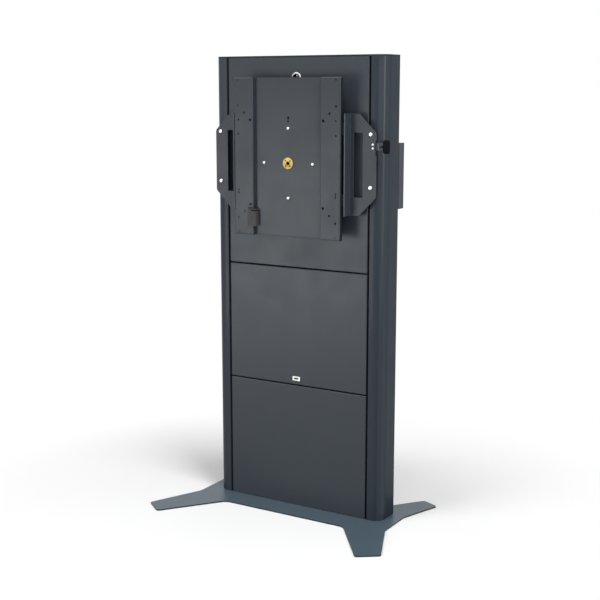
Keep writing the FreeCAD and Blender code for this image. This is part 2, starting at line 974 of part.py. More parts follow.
def make_coupling():
    """A sleeve that joins the gearbox's output to the screw."""
    sleeve = rod("coupling_sleeve", "z", coupling_low, coupling_high, size("coupling_radius"), screw_place)
    bore = size("journal_radius") + size("running_clearance")
    hole = rod("coupling_hole", "z", coupling_low - LAP, coupling_high + LAP, bore, screw_place)
    keep("screw_coupling", cut("screw_coupling_cut", sleeve, [hole]))


def make_bearing_block():
    across = size("bearing_block_width") / 2
    along = size("bearing_block_depth") / 2
    y = (front + screw_y - along, front + screw_y + along)
    block = box("bearing_block_solid", (-across, across), y, (bearing_low, top_beam_low))
    bore = size("journal_radius") + size("running_clearance")
    hole = rod("bearing_block_hole", "z", bearing_low - LAP, top_beam_low + LAP, bore, screw_place)
    keep("upper_bearing_block", cut("bearing_block_cut", block, [hole]))


def make_drive_nut():
    across = size("nut_width") / 2
    up = size("nut_height") / 2
    y = (front + plate_rear, front + plate_rear + size("nut_depth"))
    block = box("nut_solid", (-across, across), y, (centre - up, centre + up))
    bore = size("screw_radius") + size("running_clearance")
    hole = rod("nut_hole", "z", centre - up - LAP, centre + up + LAP, bore, screw_place)
    keep("drive_nut", cut("nut_cut", block, [hole]))


def make_limit_switches():
    """Two switches on the left upright, just past the ends of the carriage's travel."""
    top = centre + size("carriage_height") / 2
    bottom = centre - size("carriage_height") / 2 - size("lift_travel")
    x = (-upright_inner, size("switch_width") - upright_inner)
    y = (front + upright_front, front + upright_front + size("switch_depth"))
    height = size("switch_height")
    gap = size("switch_gap")
    upper = box("upper_switch", x, y, (top + gap, top + gap + height))
    lower = box("lower_switch", x, y, (bottom - gap - height, bottom - gap))
    keep("limit_switches", group("switch_group", [upper, lower]))


# carriage

arm_bolt_x = slot_middle + size("arm_sheet") / 2 - size("arm_flange") + size("arm_bolt_inset")
arm_bolt_levels = (centre - size("arm_bolt_spacing") / 2, centre + size("arm_bolt_spacing") / 2)


def make_carriage_plate():
    """Flat plate inside the column that carries the nut, the glides and the arms."""
    item = new_body("carriage_plate", y=front)
    reach = slot_inner - size("carriage_side_gap")
    up = size("carriage_height") / 2
    sketch = new_sketch(item, "XZ_Plane", "face", -plate_front)
    add_rectangle(sketch, (-reach, reach), (centre - up, centre + up))
    for side in (-1, 1):
        for level in arm_bolt_levels:
            add_circle(sketch, arm_bolt_x * side, level, size("arm_bolt_radius") + size("hole_clearance"))
        middle = reach / 2 * side
        window = (middle - size("plate_window_width") / 2, middle + size("plate_window_width") / 2)
        for end in (-1, 1):
            level = centre + up / 2 * end
            window_half = size("plate_window_height") / 2
            add_rectangle(sketch, window, (level - window_half, level + window_half))
    pad(item, sketch, size("carriage_sheet"), reverse=True)


def make_arm(name, side):
    """Z-shaped arm: inner flange, web through the slot and two lugs outside."""
    item = new_body(name, y=front)
    half_sheet = size("arm_sheet") / 2
    web_inner = slot_middle - half_sheet
    web_outer = slot_middle + half_sheet
    low = wing_bolt_levels[1] - size("arm_margin")
    high = wing_bolt_levels[0] + size("arm_margin")
    points = [
        (web_outer, wing_back),
        (web_outer, plate_front),
        (web_outer - size("arm_flange"), plate_front),
        (web_outer - size("arm_flange"), arm_flange_front),
        (web_inner, arm_flange_front),
        (web_inner, wing_back),
    ]
    sketch = new_sketch(item, "XY_Plane", "section", low)
    add_outline(sketch, [(x * side, y) for x, y in points])
    pad(item, sketch, high - low)
    round_edges(item, "z", [(web_inner * side, arm_flange_front)], size("arm_bend"))
    round_edges(item, "z", [(web_outer * side, plate_front)], size("arm_bend") + size("arm_sheet"))
    lugs = new_sketch(item, "XZ_Plane", "lugs", -wing_back)
    reach = web_inner + size("lug_reach")
    for level in wing_bolt_levels:
        x = mirrored_limits(side, (web_inner, reach))
        add_rectangle(lugs, x, (level - size("lug_height") / 2, level + size("lug_height") / 2))
    pad(item, lugs, size("lug_thickness"), reverse=True)
    holes = new_sketch(item, "XZ_Plane", "holes")
    for level in wing_bolt_levels:
        add_circle(holes, wing_bolt_x * side, level, bolt_hole)
    for level in arm_bolt_levels:
        add_circle(holes, arm_bolt_x * side, level, size("arm_bolt_radius") + size("hole_clearance"))
    pocket(item, holes)


def make_arm_bolts():
    bolts = []
    for side in (-1, 1):
        for end, level in enumerate(arm_bolt_levels):
            name = "arm_bolt_%d_%d" % (side + 1, end)
            where = (arm_bolt_x * side, level)
            start = front + arm_flange_front
            seat = front + plate_rear
            radius = size("arm_bolt_radius")
            shank = rod(name + "_shank", "y", start, seat + LAP, radius, where)
            head_end = seat + size("arm_bolt_head_height")
            head = hexagon(name + "_head", "y", seat, head_end, size("arm_bolt_head"), where)
            bolts.append(fuse(name, [shank, head]))
    keep("arm_bolts", group("arm_bolt_group", bolts))


def make_wing(name, side):
    """Wing plate with a long window, cut corners and a flange folded forward beside the tray."""
    item = new_body(name, y=front)
    chamfer = size("wing_chamfer")
    sheet_wall = size("wing_sheet")
    points = [
        (wing_inner, wing_bottom),
        (wing_outer - chamfer, wing_bottom),
        (wing_outer, wing_bottom + chamfer),
        (wing_outer, wing_top - chamfer),
        (wing_outer - chamfer, wing_top),
        (wing_inner, wing_top),
    ]
    face = new_sketch(item, "XZ_Plane", "face", -wing_face)
    add_outline(face, [(x * side, z) for x, z in points])
    window_x = wing_inner + sheet_wall + size("window_inner")
    window = mirrored_limits(side, (window_x, window_x + size("window_width")))
    half_window = size("window_height") / 2
    add_rectangle(face, window, (centre - half_window, centre + half_window))
    for level in wing_bolt_levels:
        add_circle(face, wing_bolt_x * side, level, bolt_hole)
    if side > 0:
        for level in bracket_screw_levels:
            add_circle(face, bracket_screw_x, level, size("bracket_screw_radius") + size("hole_clearance"))
    pad(item, face, sheet_wall, reverse=True)
    fold = new_sketch(item, "XZ_Plane", "fold", size("wing_flange") - wing_face)
    x = mirrored_limits(side, (wing_inner, wing_inner + sheet_wall))
    add_rectangle(fold, x, (wing_bottom, wing_top))
    pad(item, fold, size("wing_flange") + sheet_wall, reverse=True)
    round_edges(item, "z", [((wing_inner + sheet_wall) * side, wing_face)], size("wing_bend"))
    round_edges(item, "z", [(wing_inner * side, wing_back)], size("wing_outer_bend"))
    outer_corners = [(x * side, z) for x, z in points[1:5]]
    round_edges(item, "y", outer_corners, size("wing_corner_round"))
    window_corners = [(x, centre + half_window * end) for x in window for end in (-1, 1)]
    round_edges(item, "y", window_corners, size("window_round"))
    if side > 0:
        notch = new_sketch(item, "XZ_Plane", "notch")
        z = (bracket_level - size("notch_below"), bracket_level + size("notch_above"))
        add_rectangle(notch, (wing_outer - size("notch_depth"), wing_outer + LAP), z)
        pocket(item, notch)


def wing_bolt_parts(part):
    """The wing bolts or their nuts, four of each."""
    items = []
    radius = size("wing_bolt_radius")
    nut_face = front + wing_back + size("lug_thickness")
    nut_end = nut_face + size("nut_thickness")
    for side in (-1, 1):
        for end, level in enumerate(wing_bolt_levels):
            name = "wing_%s_%d_%d" % (part, side + 1, end)
            where = (wing_bolt_x * side, level)
            if part == "bolt":
                head_start = front + wing_face - size("wing_bolt_head_height")
                face = front + wing_face
                head = rod(name + "_head", "y", head_start, face, size("wing_bolt_head"), where)
                shank = rod(name + "_shank", "y", face - LAP, nut_end, radius, where)
                items.append(fuse(name, [head, shank]))
            else:
                solid = hexagon(name + "_solid", "y", nut_face, nut_end, size("wing_nut_radius"), where)
                bore = radius + size("running_clearance")
                hole = rod(name + "_hole", "y", nut_face - LAP, nut_end + LAP, bore, where)
                items.append(cut(name, solid, [hole]))
    return items


# screen tray

side_hole_levels = (
    centre + size("large_pattern") / 2,
    centre + size("extra_hole_rise"),
    centre - size("extra_hole_rise"),
)


def tray_holes():
    """Holes of the right flange as place and radius: three screen patterns and spare holes."""
    large = size("large_pattern") / 2
    middle = size("middle_pattern") / 2
    small = size("small_pattern") / 2
    extra = size("extra_hole_radius")
    rise = size("extra_hole_rise")
    inset = size("extra_hole_inset")
    holes = []
    for end in (-1, 1):
        holes.append((large, centre + large * end, size("large_hole_radius")))
        holes.append((middle, centre + middle * end, size("large_hole_radius")))
        holes.append((small, centre + small * end, size("small_hole_radius")))
        holes.append((large, centre + rise * end, extra))
    holes.append((large, centre + small, extra))
    holes.append((large, centre - rise - inset, extra))
    holes.append((large, tray_top - inset, extra))
    holes.append((large, tray_bottom + inset, extra))
    return holes


def make_mount_tray():
    """Hat-shaped sheet: two flanges with the screen holes and a recessed middle."""
    item = new_body("mount_tray", y=front)
    sheet_wall = size("tray_sheet")
    return_end = flange_face + size("tray_return")
    flange_back = flange_face + sheet_wall
    front_line = [
        (tray_half, return_end),
        (tray_half, flange_face),
        (recess_half, flange_face),
        (recess_half, middle_face),
    ]
    back_line = [
        (tray_half - sheet_wall, return_end),
        (tray_half - sheet_wall, flange_back),
        (recess_half + sheet_wall, flange_back),
        (recess_half + sheet_wall, middle_back),
    ]
    points = front_line + [(-x, y) for x, y in reversed(front_line)]
    points += [(-x, y) for x, y in back_line] + list(reversed(back_line))
    sketch = new_sketch(item, "XY_Plane", "section", tray_bottom)
    add_outline(sketch, points)
    pad(item, sketch, tray_top - tray_bottom)
    bends = [(x * side, flange_face) for x in (tray_half, recess_half) for side in (-1, 1)]
    round_edges(item, "z", bends, size("tray_bend"))
    insides = (tray_half - sheet_wall, recess_half + sheet_wall)
    inner_bends = [(x * side, flange_back) for x in insides for side in (-1, 1)]
    round_edges(item, "z", inner_bends, size("tray_bend") - sheet_wall)
    holes = new_sketch(item, "XZ_Plane", "holes")
    for side in (-1, 1):
        for x, z, radius in tray_holes():
            add_circle(holes, x * side, z, radius)
        add_circle(holes, size("tray_screw_spacing") / 2 * side, centre, tray_screw_hole)
        add_circle(holes, 0, centre + size("channel_spacing") / 2 * side, tray_screw_hole)
    add_circle(holes, 0, centre, size("bush_radius") + size("hole_clearance"))
    block_slot = (size("block_slot_right") - recess_half, -recess_half - size("block_left"))
    slot_low = block_high + size("block_slot_gap")
    add_rectangle(holes, block_slot, (slot_low, slot_low + size("block_slot_height")))
    add_circle(holes, 0, key_hole_level, size("key_hole_radius"))
    slot_level = key_hole_level + size("key_slot_spacing")
    slot_x = (-size("key_slot_width") / 2, size("key_slot_width") / 2)
    slot_z = (slot_level - size("key_slot_height") / 2, slot_level + size("key_slot_height") / 2)
    add_rectangle(holes, slot_x, slot_z)
    pocket(item, holes)
    round_edges(item, "y", [(x, z) for x in slot_x for z in slot_z], size("key_slot_round"))
    for side in (-1, 1):
        label = "right_holes" if side > 0 else "left_holes"
        sides = new_sketch(item, "YZ_Plane", label, (tray_half - sheet_wall * 2) * side)
        for level in side_hole_levels:
            middle_y = flange_face + size("tray_return") / 2
            add_circle(sides, middle_y, level, size("side_hole_radius"))
        pocket(item, sides, sheet_wall * 3, symmetric=False, reverse=side > 0)


tray_screw_hole = size("tray_screw_radius") + size("hole_clearance")
key_hole_level = centre + size("channel_spacing") / 2 + size("channel_height") / 2 + size("key_hole_gap")


def make_channel(name, level):
    """Channel across the back of the tray, from one wing to the other, open to the back."""
    item = new_body(name, y=front, z=level)
    up = size("channel_height") / 2
    back = middle_back + size("channel_depth")
    sheet_wall = size("channel_sheet")
    points = [
        (middle_back, -up),
        (back, -up),
        (back, sheet_wall - up),
        (middle_back + sheet_wall, sheet_wall - up),
        (middle_back + sheet_wall, up - sheet_wall),
        (back, up - sheet_wall),
        (back, up),
        (middle_back, up),
    ]
    sketch = new_sketch(item, "YZ_Plane", "section")
    add_outline(sketch, points)
    pad(item, sketch, wing_inner * 2, symmetric=True)
    hole = new_sketch(item, "XZ_Plane", "hole")
    add_circle(hole, 0, 0, tray_screw_hole)
    pocket(item, hole)


def make_centre_plate():
    """Plate between the two channels that carries the bush and the side screws."""
    item = new_body("centre_plate", y=front)
    up = size("channel_spacing") / 2 - size("channel_height") / 2
    across = size("centre_plate_width") / 2
    sketch = new_sketch(item, "XZ_Plane", "face", -middle_back)
    add_rectangle(sketch, (-across, across), (centre - up, centre + up))
    for side in (-1, 1):
        add_circle(sketch, size("tray_screw_spacing") / 2 * side, centre, tray_screw_hole)
    add_circle(sketch, 0, centre, size("bush_radius") + size("hole_clearance"))
    pad(item, sketch, size("centre_plate_sheet"), reverse=True)


def make_centre_bush():
    """Flanged bush in the middle of the tray."""
    item = new_body("centre_bush", y=front)
    face = middle_face - size("bush_flange")
    end = middle_face + size("bush_length")
    bore = size("bush_bore_radius")
    rim = size("bush_flange_radius")
    edge = size("bush_chamfer")
    points = [
        (bore, face),
        (rim - edge, face),
        (rim, face + edge),
        (rim, middle_face),
        (size("bush_radius"), middle_face),
        (size("bush_radius"), end),
        (bore, end),
    ]
    sketch = new_sketch(item, "XY_Plane", "section", centre)
    add_outline(sketch, points)
    revolve(item, sketch)
    dimples = new_sketch(item, "XZ_Plane", "dimples", -face)
    offset = size("bush_dimple_offset")
    for x in (-offset, offset):
        for z in (centre - offset, centre + offset):
            add_circle(dimples, x, z, size("bush_dimple_radius"))
    pocket(item, dimples, size("bush_dimple_depth"), symmetric=False)


def make_tray_screws():
    spread = size("tray_screw_spacing") / 2
    rise = size("channel_spacing") / 2
    places = [(spread, centre), (-spread, centre), (as_size(0), centre + rise), (as_size(0), centre - rise)]
    screws = []
    for index, where in enumerate(places):
        name = "tray_screw%d" % index
        face = front + middle_face
        head_start = face - size("tray_screw_head_height")
        head = rod(name + "_head", "y", head_start, face, size("tray_screw_head"), where)
        end = face + size("tray_screw_length")
        shank = rod(name + "_shank", "y", face - LAP, end, size("tray_screw_radius"), where)
        screws.append(fuse(name, [head, shank]))
    keep("tray_screws", group("tray_screw_group", screws))


block_low = tray_bottom + size("block_rise")
block_high = block_low + size("block_height")


def make_corner_block():
    """Stepped block that sits on the left flange and in the recess beside it, grooved near its top."""
    item = new_body("corner_block", y=front)
    left = -recess_half - size("block_left")
    right = size("block_right") - recess_half
    face = flange_face - size("block_proud")
    points = [
        (left, face),
        (right, face),
        (right, middle_face),
        (-recess_half, middle_face),
        (-recess_half, flange_face),
        (left, flange_face),
    ]
    section = new_sketch(item, "XY_Plane", "section", block_low)
    add_outline(section, points)
    pad(item, section, size("block_height"))
    round_edges(item, "z", [(right, face)], size("block_round"))
    groove = new_sketch(item, "XZ_Plane", "groove", -face)
    start = -recess_half - size("block_groove_start")
    groove_top = block_high - size("block_lip")
    add_rectangle(groove, (start, right + LAP), (groove_top - size("block_groove_height"), groove_top))
    pocket(item, groove, size("block_groove_depth"), symmetric=False)


# clamp knob beside the right wing

bracket_level = centre + size("bracket_rise")
bracket_screw_x = wing_outer - size("bracket_screw_inset")
bracket_screw_levels = (
    bracket_level - size("bracket_screw_spacing") / 2,
    bracket_level + size("bracket_screw_spacing") / 2,
)
bracket_end = wing_outer + size("bracket_reach")
knob_y = wing_face - size("knob_forward") + size("wing_sheet")
knob_low_x = bracket_end + size("knob_reach") - size("knob_hub_length")


def make_knob_bracket():
    """Angle bracket behind the wing, with a tab folded forward for the knob's stud."""
    up = size("bracket_height") / 2
    back = front + wing_back
    sheet_wall = size("bracket_sheet")
    z = (bracket_level - up, bracket_level + up)
    strap_x = (wing_outer - size("bracket_lap"), bracket_end)
    strap = box("bracket_strap", strap_x, (back, back + sheet_wall), z)
    tab_x = (bracket_end - sheet_wall, bracket_end)
    tab = box("bracket_tab", tab_x, (back - size("bracket_forward"), back), z)
    body = fuse("bracket_body", [strap, tab])
    holes = []
    for index, level in enumerate(bracket_screw_levels):
        radius = size("bracket_screw_radius") + size("hole_clearance")
        where = (bracket_screw_x, level)
        title = "bracket_hole%d" % index
        holes.append(rod(title, "y", back - LAP, back + sheet_wall + LAP, radius, where))
    stud_hole = size("stud_radius") + size("running_clearance")
    ends = (bracket_end - sheet_wall - LAP, bracket_end + LAP)
    holes.append(rod("bracket_stud_hole", "x", ends[0], ends[1], stud_hole, (front + knob_y, bracket_level)))
    keep("knob_bracket", cut("knob_bracket_cut", body, holes))


def make_bracket_screws():
    screws = []
    for index, level in enumerate(bracket_screw_levels):
        name = "bracket_screw%d" % index
        where = (bracket_screw_x, level)
        face = front + wing_face
        radius = size("bracket_screw_radius")
        head = rod(name + "_head", "y", face - radius, face, size("bracket_screw_head"), where)
        end = front + wing_back + size("bracket_sheet")
        shank = rod(name + "_shank", "y", face - LAP, end, radius, where)
        screws.append(fuse(name, [head, shank]))
    keep("bracket_screws", group("bracket_screw_group", screws))


def make_knob():
    """Upright bar grip with rounded ends and a short hub towards the bracket."""
    item = new_body("clamp_knob", x=knob_low_x, y=front + knob_y, z=bracket_level)
    hub = new_sketch(item, "YZ_Plane", "hub")
    add_circle(hub, 0, 0, size("knob_hub_radius"))
    pad(item, hub, size("knob_hub_length") + LAP)
    grip = new_sketch(item, "YZ_Plane", "grip", size("knob_hub_length"))
    across = size("knob_width") / 2
    along = size("knob_length") / 2
    add_rectangle(grip, (-across, across), (-along, along))
    pad(item, grip, size("knob_thickness"))
    corners = [(y, z) for y in (-across, across) for z in (-along, along)]
    round_edges(item, "x", corners, size("knob_corner_round"))
    outer_face = size("knob_hub_length") + size("knob_thickness")
    round_edges(item, "z", [(outer_face, across)], size("knob_edge_round"))
    socket = new_sketch(item, "YZ_Plane", "stud_socket")
    add_circle(socket, 0, 0, size("stud_radius") + size("running_clearance"))
    pocket(item, socket, size("stud_socket_depth"), symmetric=False, reverse=True)


def make_stud():
    start = bracket_end - size("bracket_sheet") - size("stud_tail")
    end = knob_low_x + size("stud_socket_depth") - size("end_float")
    where = (front + knob_y, bracket_level)
    keep("knob_stud", rod("stud_rod", "x", start, end, size("stud_radius"), where))


# outlet ring, badge plate and rear equipment

def make_outlet_ring():
    """Metal ring round the cable hole in the upper front panel."""
    item = new_body("cable_outlet_ring", y=front)
    bore = size("outlet_bore_radius")
    rim = size("outlet_radius")
    edge = size("outlet_chamfer")
    proud = size("outlet_proud")
    collar = size("outlet_collar_radius")
    points = [
        (bore + edge, -proud),
        (rim - edge, -proud),
        (rim, edge - proud),
        (rim, 0),
        (collar, 0),
        (collar, size("outlet_depth")),
        (bore, size("outlet_depth")),
        (bore, edge - proud),
    ]
    sketch = new_sketch(item, "XY_Plane", "section", outlet_level)
    add_outline(sketch, points)
    revolve(item, sketch)


def make_badge():
    """Small plain plate with a shallow recess, low on the middle panel."""
    item = new_body("panel_badge", y=front)
    low = size("lower_gap_level") + size("badge_rise")
    high = low + size("badge_height")
    middle = (low + high) / 2
    across = size("badge_width") / 2
    plate = new_sketch(item, "XZ_Plane", "plate")
    add_rectangle(plate, (-across, across), (low, high))
    pad(item, plate, size("badge_thickness"))
    round_edges(item, "y", [(x, z) for x in (-across, across) for z in (low, high)], size("badge_round"))
    recess = new_sketch(item, "XZ_Plane", "recess", size("badge_thickness"))
    wide = size("badge_recess_width") / 2
    tall = size("badge_recess_height") / 2
    add_rectangle(recess, (-wide, wide), (middle - tall, middle + tall))
    pocket(item, recess, size("badge_recess_depth"), symmetric=False)


rear_box_x = (half_width - size("rear_box_width"), half_width)
rear_box_z = (
    rear_box_level - size("rear_box_height") / 2,
    rear_box_level + size("rear_box_height") / 2,
)
rear_box_back = front + depth + size("rear_box_depth")


def make_rear_box():
    """Shallow sheet box on the back of the column, its lid and the control unit inside."""
    box_wall = size("rear_box_wall")
    start = front + depth
    lid_back = rear_box_back + size("rear_lid_depth")
    outer = box("rear_box_outer", rear_box_x, (start, rear_box_back), rear_box_z)
    inside_x = shrunk(rear_box_x, box_wall)
    inside_z = shrunk(rear_box_z, box_wall)
    inner = box("rear_box_inner", inside_x, (start + box_wall, rear_box_back + LAP), inside_z)
    keep("rear_box", cut("rear_box_cut", outer, [inner]))
    lid_outer = box("rear_lid_outer", rear_box_x, (rear_box_back, lid_back), rear_box_z)
    lid_inner = box("rear_lid_inner", inside_x, (rear_box_back - LAP, lid_back - box_wall), inside_z)
    keep("rear_box_lid", cut("rear_lid_cut", lid_outer, [lid_inner]))
    unit_x = shrunk(rear_box_x, size("control_unit_margin"))
    unit_z = shrunk(rear_box_z, size("control_unit_margin"))
    unit_y = (start + box_wall, start + box_wall + size("control_unit_depth"))
    keep("control_unit", box("control_unit_solid", unit_x, unit_y, unit_z))


def make_power_inlet():
    """Appliance inlet low on the rear panel: a flange, a hollow housing and a floor for the contacts."""
    x = -size("inlet_offset")
    level = size("inlet_level")
    item = new_body("power_inlet", x=x, y=front + depth, z=level)
    flange = new_sketch(item, "XZ_Plane", "flange")
    across = size("inlet_flange_width") / 2
    up = size("inlet_flange_height") / 2
    add_rectangle(flange, (-across, across), (-up, up))
    pad(item, flange, size("inlet_flange_thickness"), reverse=True)
    housing = new_sketch(item, "XZ_Plane", "housing")
    middle = as_size(0)
    add_outline(housing, inlet_outline(0, middle, middle))
    pad(item, housing, size("inlet_depth"))
    hollow = new_sketch(item, "XZ_Plane", "hollow", -size("inlet_flange_thickness"))
    add_outline(hollow, inlet_outline(size("inlet_wall"), middle, middle))
    hollow_depth = size("inlet_flange_thickness") + size("inlet_depth") - size("inlet_wall")
    pocket(item, hollow, hollow_depth, symmetric=False, reverse=True)


def make_inlet_contacts():
    """Three upright blades on the inlet's floor, the middle one higher."""
    foot = front + depth - size("inlet_depth") + size("inlet_wall")
    half_width_of_blade = size("contact_width") / 2
    half_height_of_blade = size("contact_height") / 2
    contacts = []
    for step, rise in ((-1, -1), (0, 1), (1, -1)):
        middle_x = size("contact_pitch") * step - size("inlet_offset")
        middle_z = size("inlet_level") + size("contact_rise") * rise
        contacts.append(box(
            "inlet_contact%d" % (step + 1),
            (middle_x - half_width_of_blade, middle_x + half_width_of_blade),
            (foot, foot + size("contact_length")),
            (middle_z - half_height_of_blade, middle_z + half_height_of_blade),
        ))
    keep("inlet_contacts", group("contact_group", contacts))


# build every piece

make_base_plate()
make_base_bolts()
make_top_cap()
for side_name, side_sign in (("left", -1), ("right", 1)):
    make_foot_plate(side_name + "_foot_plate", side_sign)
    make_side_profile(side_name + "_side_profile", side_sign)
    make_front_upright(side_name + "_front_upright", side_sign)
    make_rear_upright(side_name + "_rear_upright", side_sign)
    make_guide_rail(side_name + "_guide_rail", side_sign)
    make_arm(side_name + "_arm", side_sign)
    make_wing(side_name + "_wing", side_sign)
    for end_name, end_sign in (("lower", -1), ("upper", 1)):
        glide_level = centre + size("glide_spacing") / 2 * end_sign
        make_glide("%s_%s_glide" % (end_name, side_name), side_sign, glide_level)
for panel_name, (panel_low, panel_high) in panel_levels().items():
    make_front_panel(panel_name, panel_low, panel_high)
make_rear_panel()
make_rear_screws()
make_crossbeam("bottom_crossbeam", upright_foot)
make_crossbeam("top_crossbeam", top_beam_low)
make_panel_magnets()
make_gearbox()
make_motor()
make_screw()
make_coupling()
make_bearing_block()
make_drive_nut()
make_limit_switches()
make_carriage_plate()
make_arm_bolts()
keep("wing_bolts", group("wing_bolt_group", wing_bolt_parts("bolt")))
keep("wing_nuts", group("wing_nut_group", wing_bolt_parts("nut")))
make_mount_tray()
make_channel("upper_cross_channel", centre + size("channel_spacing") / 2)
make_channel("lower_cross_channel", centre - size("channel_spacing") / 2)
make_centre_plate()
make_centre_bush()
make_tray_screws()
make_corner_block()
make_knob_bracket()
make_bracket_screws()
make_knob()
make_stud()
make_outlet_ring()
make_badge()
make_rear_box()
make_power_inlet()
make_inlet_contacts()
doc.recompute()

# check and write

for item in doc.Objects:
    if "Invalid" in item.State or "Error" in item.State:
        raise RuntimeError("failed object " + item.Label)
os.makedirs("parts", exist_ok=True)
for label, item in nodes.items():
    shape = item.Shape
    if shape.isNull() or not shape.isValid() or not shape.Solids:
        raise RuntimeError("bad shape " + label)
for label, item in nodes.items():
    item.Shape.exportStep(os.path.join("parts", label + ".step"))
print(len(nodes), "pieces written")
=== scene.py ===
import bpy
import bmesh
import json
from math import atan, cos, hypot, pi, radians, sin, sqrt
from mathutils import Matrix, Vector


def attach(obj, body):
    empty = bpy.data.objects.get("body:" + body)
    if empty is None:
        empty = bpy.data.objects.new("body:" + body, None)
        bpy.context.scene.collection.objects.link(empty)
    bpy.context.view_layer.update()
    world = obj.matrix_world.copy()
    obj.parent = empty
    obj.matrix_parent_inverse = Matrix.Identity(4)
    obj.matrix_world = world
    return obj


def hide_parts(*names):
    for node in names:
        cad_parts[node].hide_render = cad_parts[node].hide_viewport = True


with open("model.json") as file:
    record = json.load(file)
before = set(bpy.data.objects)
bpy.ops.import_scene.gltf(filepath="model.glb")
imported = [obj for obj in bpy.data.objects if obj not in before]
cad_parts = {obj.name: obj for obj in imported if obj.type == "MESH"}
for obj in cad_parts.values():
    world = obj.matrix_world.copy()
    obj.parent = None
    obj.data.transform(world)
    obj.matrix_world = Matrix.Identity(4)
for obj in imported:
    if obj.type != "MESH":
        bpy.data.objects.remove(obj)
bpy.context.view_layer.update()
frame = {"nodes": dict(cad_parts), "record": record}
nodes = frame["nodes"]

# Places on the part, in metres from its origin: X to the right, Y to the back, Z up

MM = 0.001
COLUMN_FRONT = 11.65 * MM
COLUMN_BACK = COLUMN_FRONT + 112 * MM
WING_FACE = COLUMN_FRONT - 23 * MM
TRAY_FACE = COLUMN_FRONT - 55.5 * MM
CENTRE_Z = 1286.6 * MM
RING_Z = 1583 * MM

# Distances from the part's middle plane at which a material changes

FOLD_FROM = 130 * MM
TRAY_MIDDLE_END = 133.5 * MM
FLANGE_START = 142.5 * MM
RETURN_FROM = 200 * MM
FLANGE_END = 209.5 * MM
STRIP_FROM = 290 * MM
CORNER_FROM = 300 * MM

# How far such a change takes, and how far edges look rounded

FINE_STEP = 0.2 * MM
BORE_STEP = 0.3 * MM
SOFT_STEP = 1 * MM
METAL_ROUND = 0.5 * MM
PLASTIC_ROUND = 0.6 * MM

# Paint colours

COLUMN_GREY = (0.0252, 0.0318, 0.0395)
PROFILE_BLUE = (0.0225, 0.0298, 0.0382)
# Painted shade and painted light for the profiles' corners and sides: a darker side, a lighter band and a
# painted highlight line on the corner
SHADED_SIDE_BLUE = (0.0168, 0.0254, 0.0356)
LIT_CORNER_BLUE = (0.034, 0.043, 0.0545)
CORNER_HIGHLIGHT = (0.078, 0.083, 0.086)
# Lighter copies of the profile colour for the left profile: painted light, lighter still towards the top
LIT_LEFT_PROFILE_BLUE = (0.0262, 0.0325, 0.0405)
LIT_LEFT_TOP_BLUE = (0.0385, 0.0452, 0.0545)
BOX_GREY = (0.056, 0.063, 0.072)
TRAY_GREY = (0.0208, 0.0268, 0.0324)
# Painted light on the tray's inner folds, a painted highlight along its top rim and painted shade along its
# bottom rims
LIT_TRAY_FOLD = (0.026, 0.037, 0.046)
TRAY_TOP_HIGHLIGHT = (0.042, 0.056, 0.068)
FLANGE_LOW_SHADE = (0.006, 0.008, 0.01)
MIDDLE_LOW_SHADE = (0.014, 0.023, 0.031)
FOOT_BLUE = (0.0545, 0.0812, 0.102)
FRAME_BLACK = (0.02, 0.021, 0.023)
# Black for painted shade in bores, hole walls and a groove, and where something covers a surface closely
SHADE_BLACK = (0.006, 0.006, 0.007)

# Node helpers


def new_material(name):
    """A node material and its shader, with a texture position fixed to the piece."""
    material = bpy.data.materials.new(name)
    material.use_nodes = True
    tree = material.node_tree
    shader = tree.nodes["Principled BSDF"]
    place = tree.nodes.new("ShaderNodeTexCoord")
    return material, tree, shader, place.outputs["Object"]


def shade(colour, factor):
    """A colour made lighter or darker."""
    return tuple(min(1.0, channel * factor) for channel in colour)


def connect(tree, entry, value):
    """Link a socket to a node's input, or set a number, a vector or a colour on it."""
    if isinstance(value, bpy.types.NodeSocket):
        tree.links.new(value, entry)
    elif entry.type == "RGBA":
        entry.default_value = (*value, 1.0)
    else:
        entry.default_value = value


def add_noise(tree, place, scale, detail=3.0, roughness=0.5, stretch=None):
    """Noise at so many cycles a metre, stretched along an axis if asked."""
    if stretch is not None:
        mapping = tree.nodes.new("ShaderNodeMapping")
        mapping.inputs["Scale"].default_value = stretch
        tree.links.new(place, mapping.inputs["Vector"])
        place = mapping.outputs["Vector"]
    noise = tree.nodes.new("ShaderNodeTexNoise")
    noise.inputs["Scale"].default_value = scale
    noise.inputs["Detail"].default_value = detail
    noise.inputs["Roughness"].default_value = roughness
    tree.links.new(place, noise.inputs["Vector"])
    return noise.outputs["Fac"]


def add_range(tree, value, low, high, to_low=0.0, to_high=1.0):
    """A value carried from one range to another and held at the ends."""
    node = tree.nodes.new("ShaderNodeMapRange")
    node.inputs["From Min"].default_value = low
    node.inputs["From Max"].default_value = high
    node.inputs["To Min"].default_value = to_low
    node.inputs["To Max"].default_value = to_high
    tree.links.new(value, node.inputs["Value"])
    return node.outputs["Result"]


def add_fall(tree, value, low, high):
    """1 up to a low value, 0 from a high one."""
    return add_range(tree, value, low, high, 1.0, 0.0)


def add_reverse(tree, mask, most=1.0):
    """Most where a mask is 0, and 0 where it is 1."""
    return add_range(tree, mask, 0.0, 1.0, most, 0.0)


def add_spread(tree, noise, least, most):
    """Noise carried to a range: least in its low patches, most in its high ones."""
    return add_range(tree, noise, 0.3, 0.7, least, most)


def add_mix(tree, factor, first, second):
    """Mix two colours. The factor and the colours may be sockets."""
    node = tree.nodes.new("ShaderNodeMix")
    node.data_type = "RGBA"
    for name, value in (("Factor", factor), ("A", first), ("B", second)):
        connect(tree, node.inputs[name], value)
    return node.outputs["Result"]


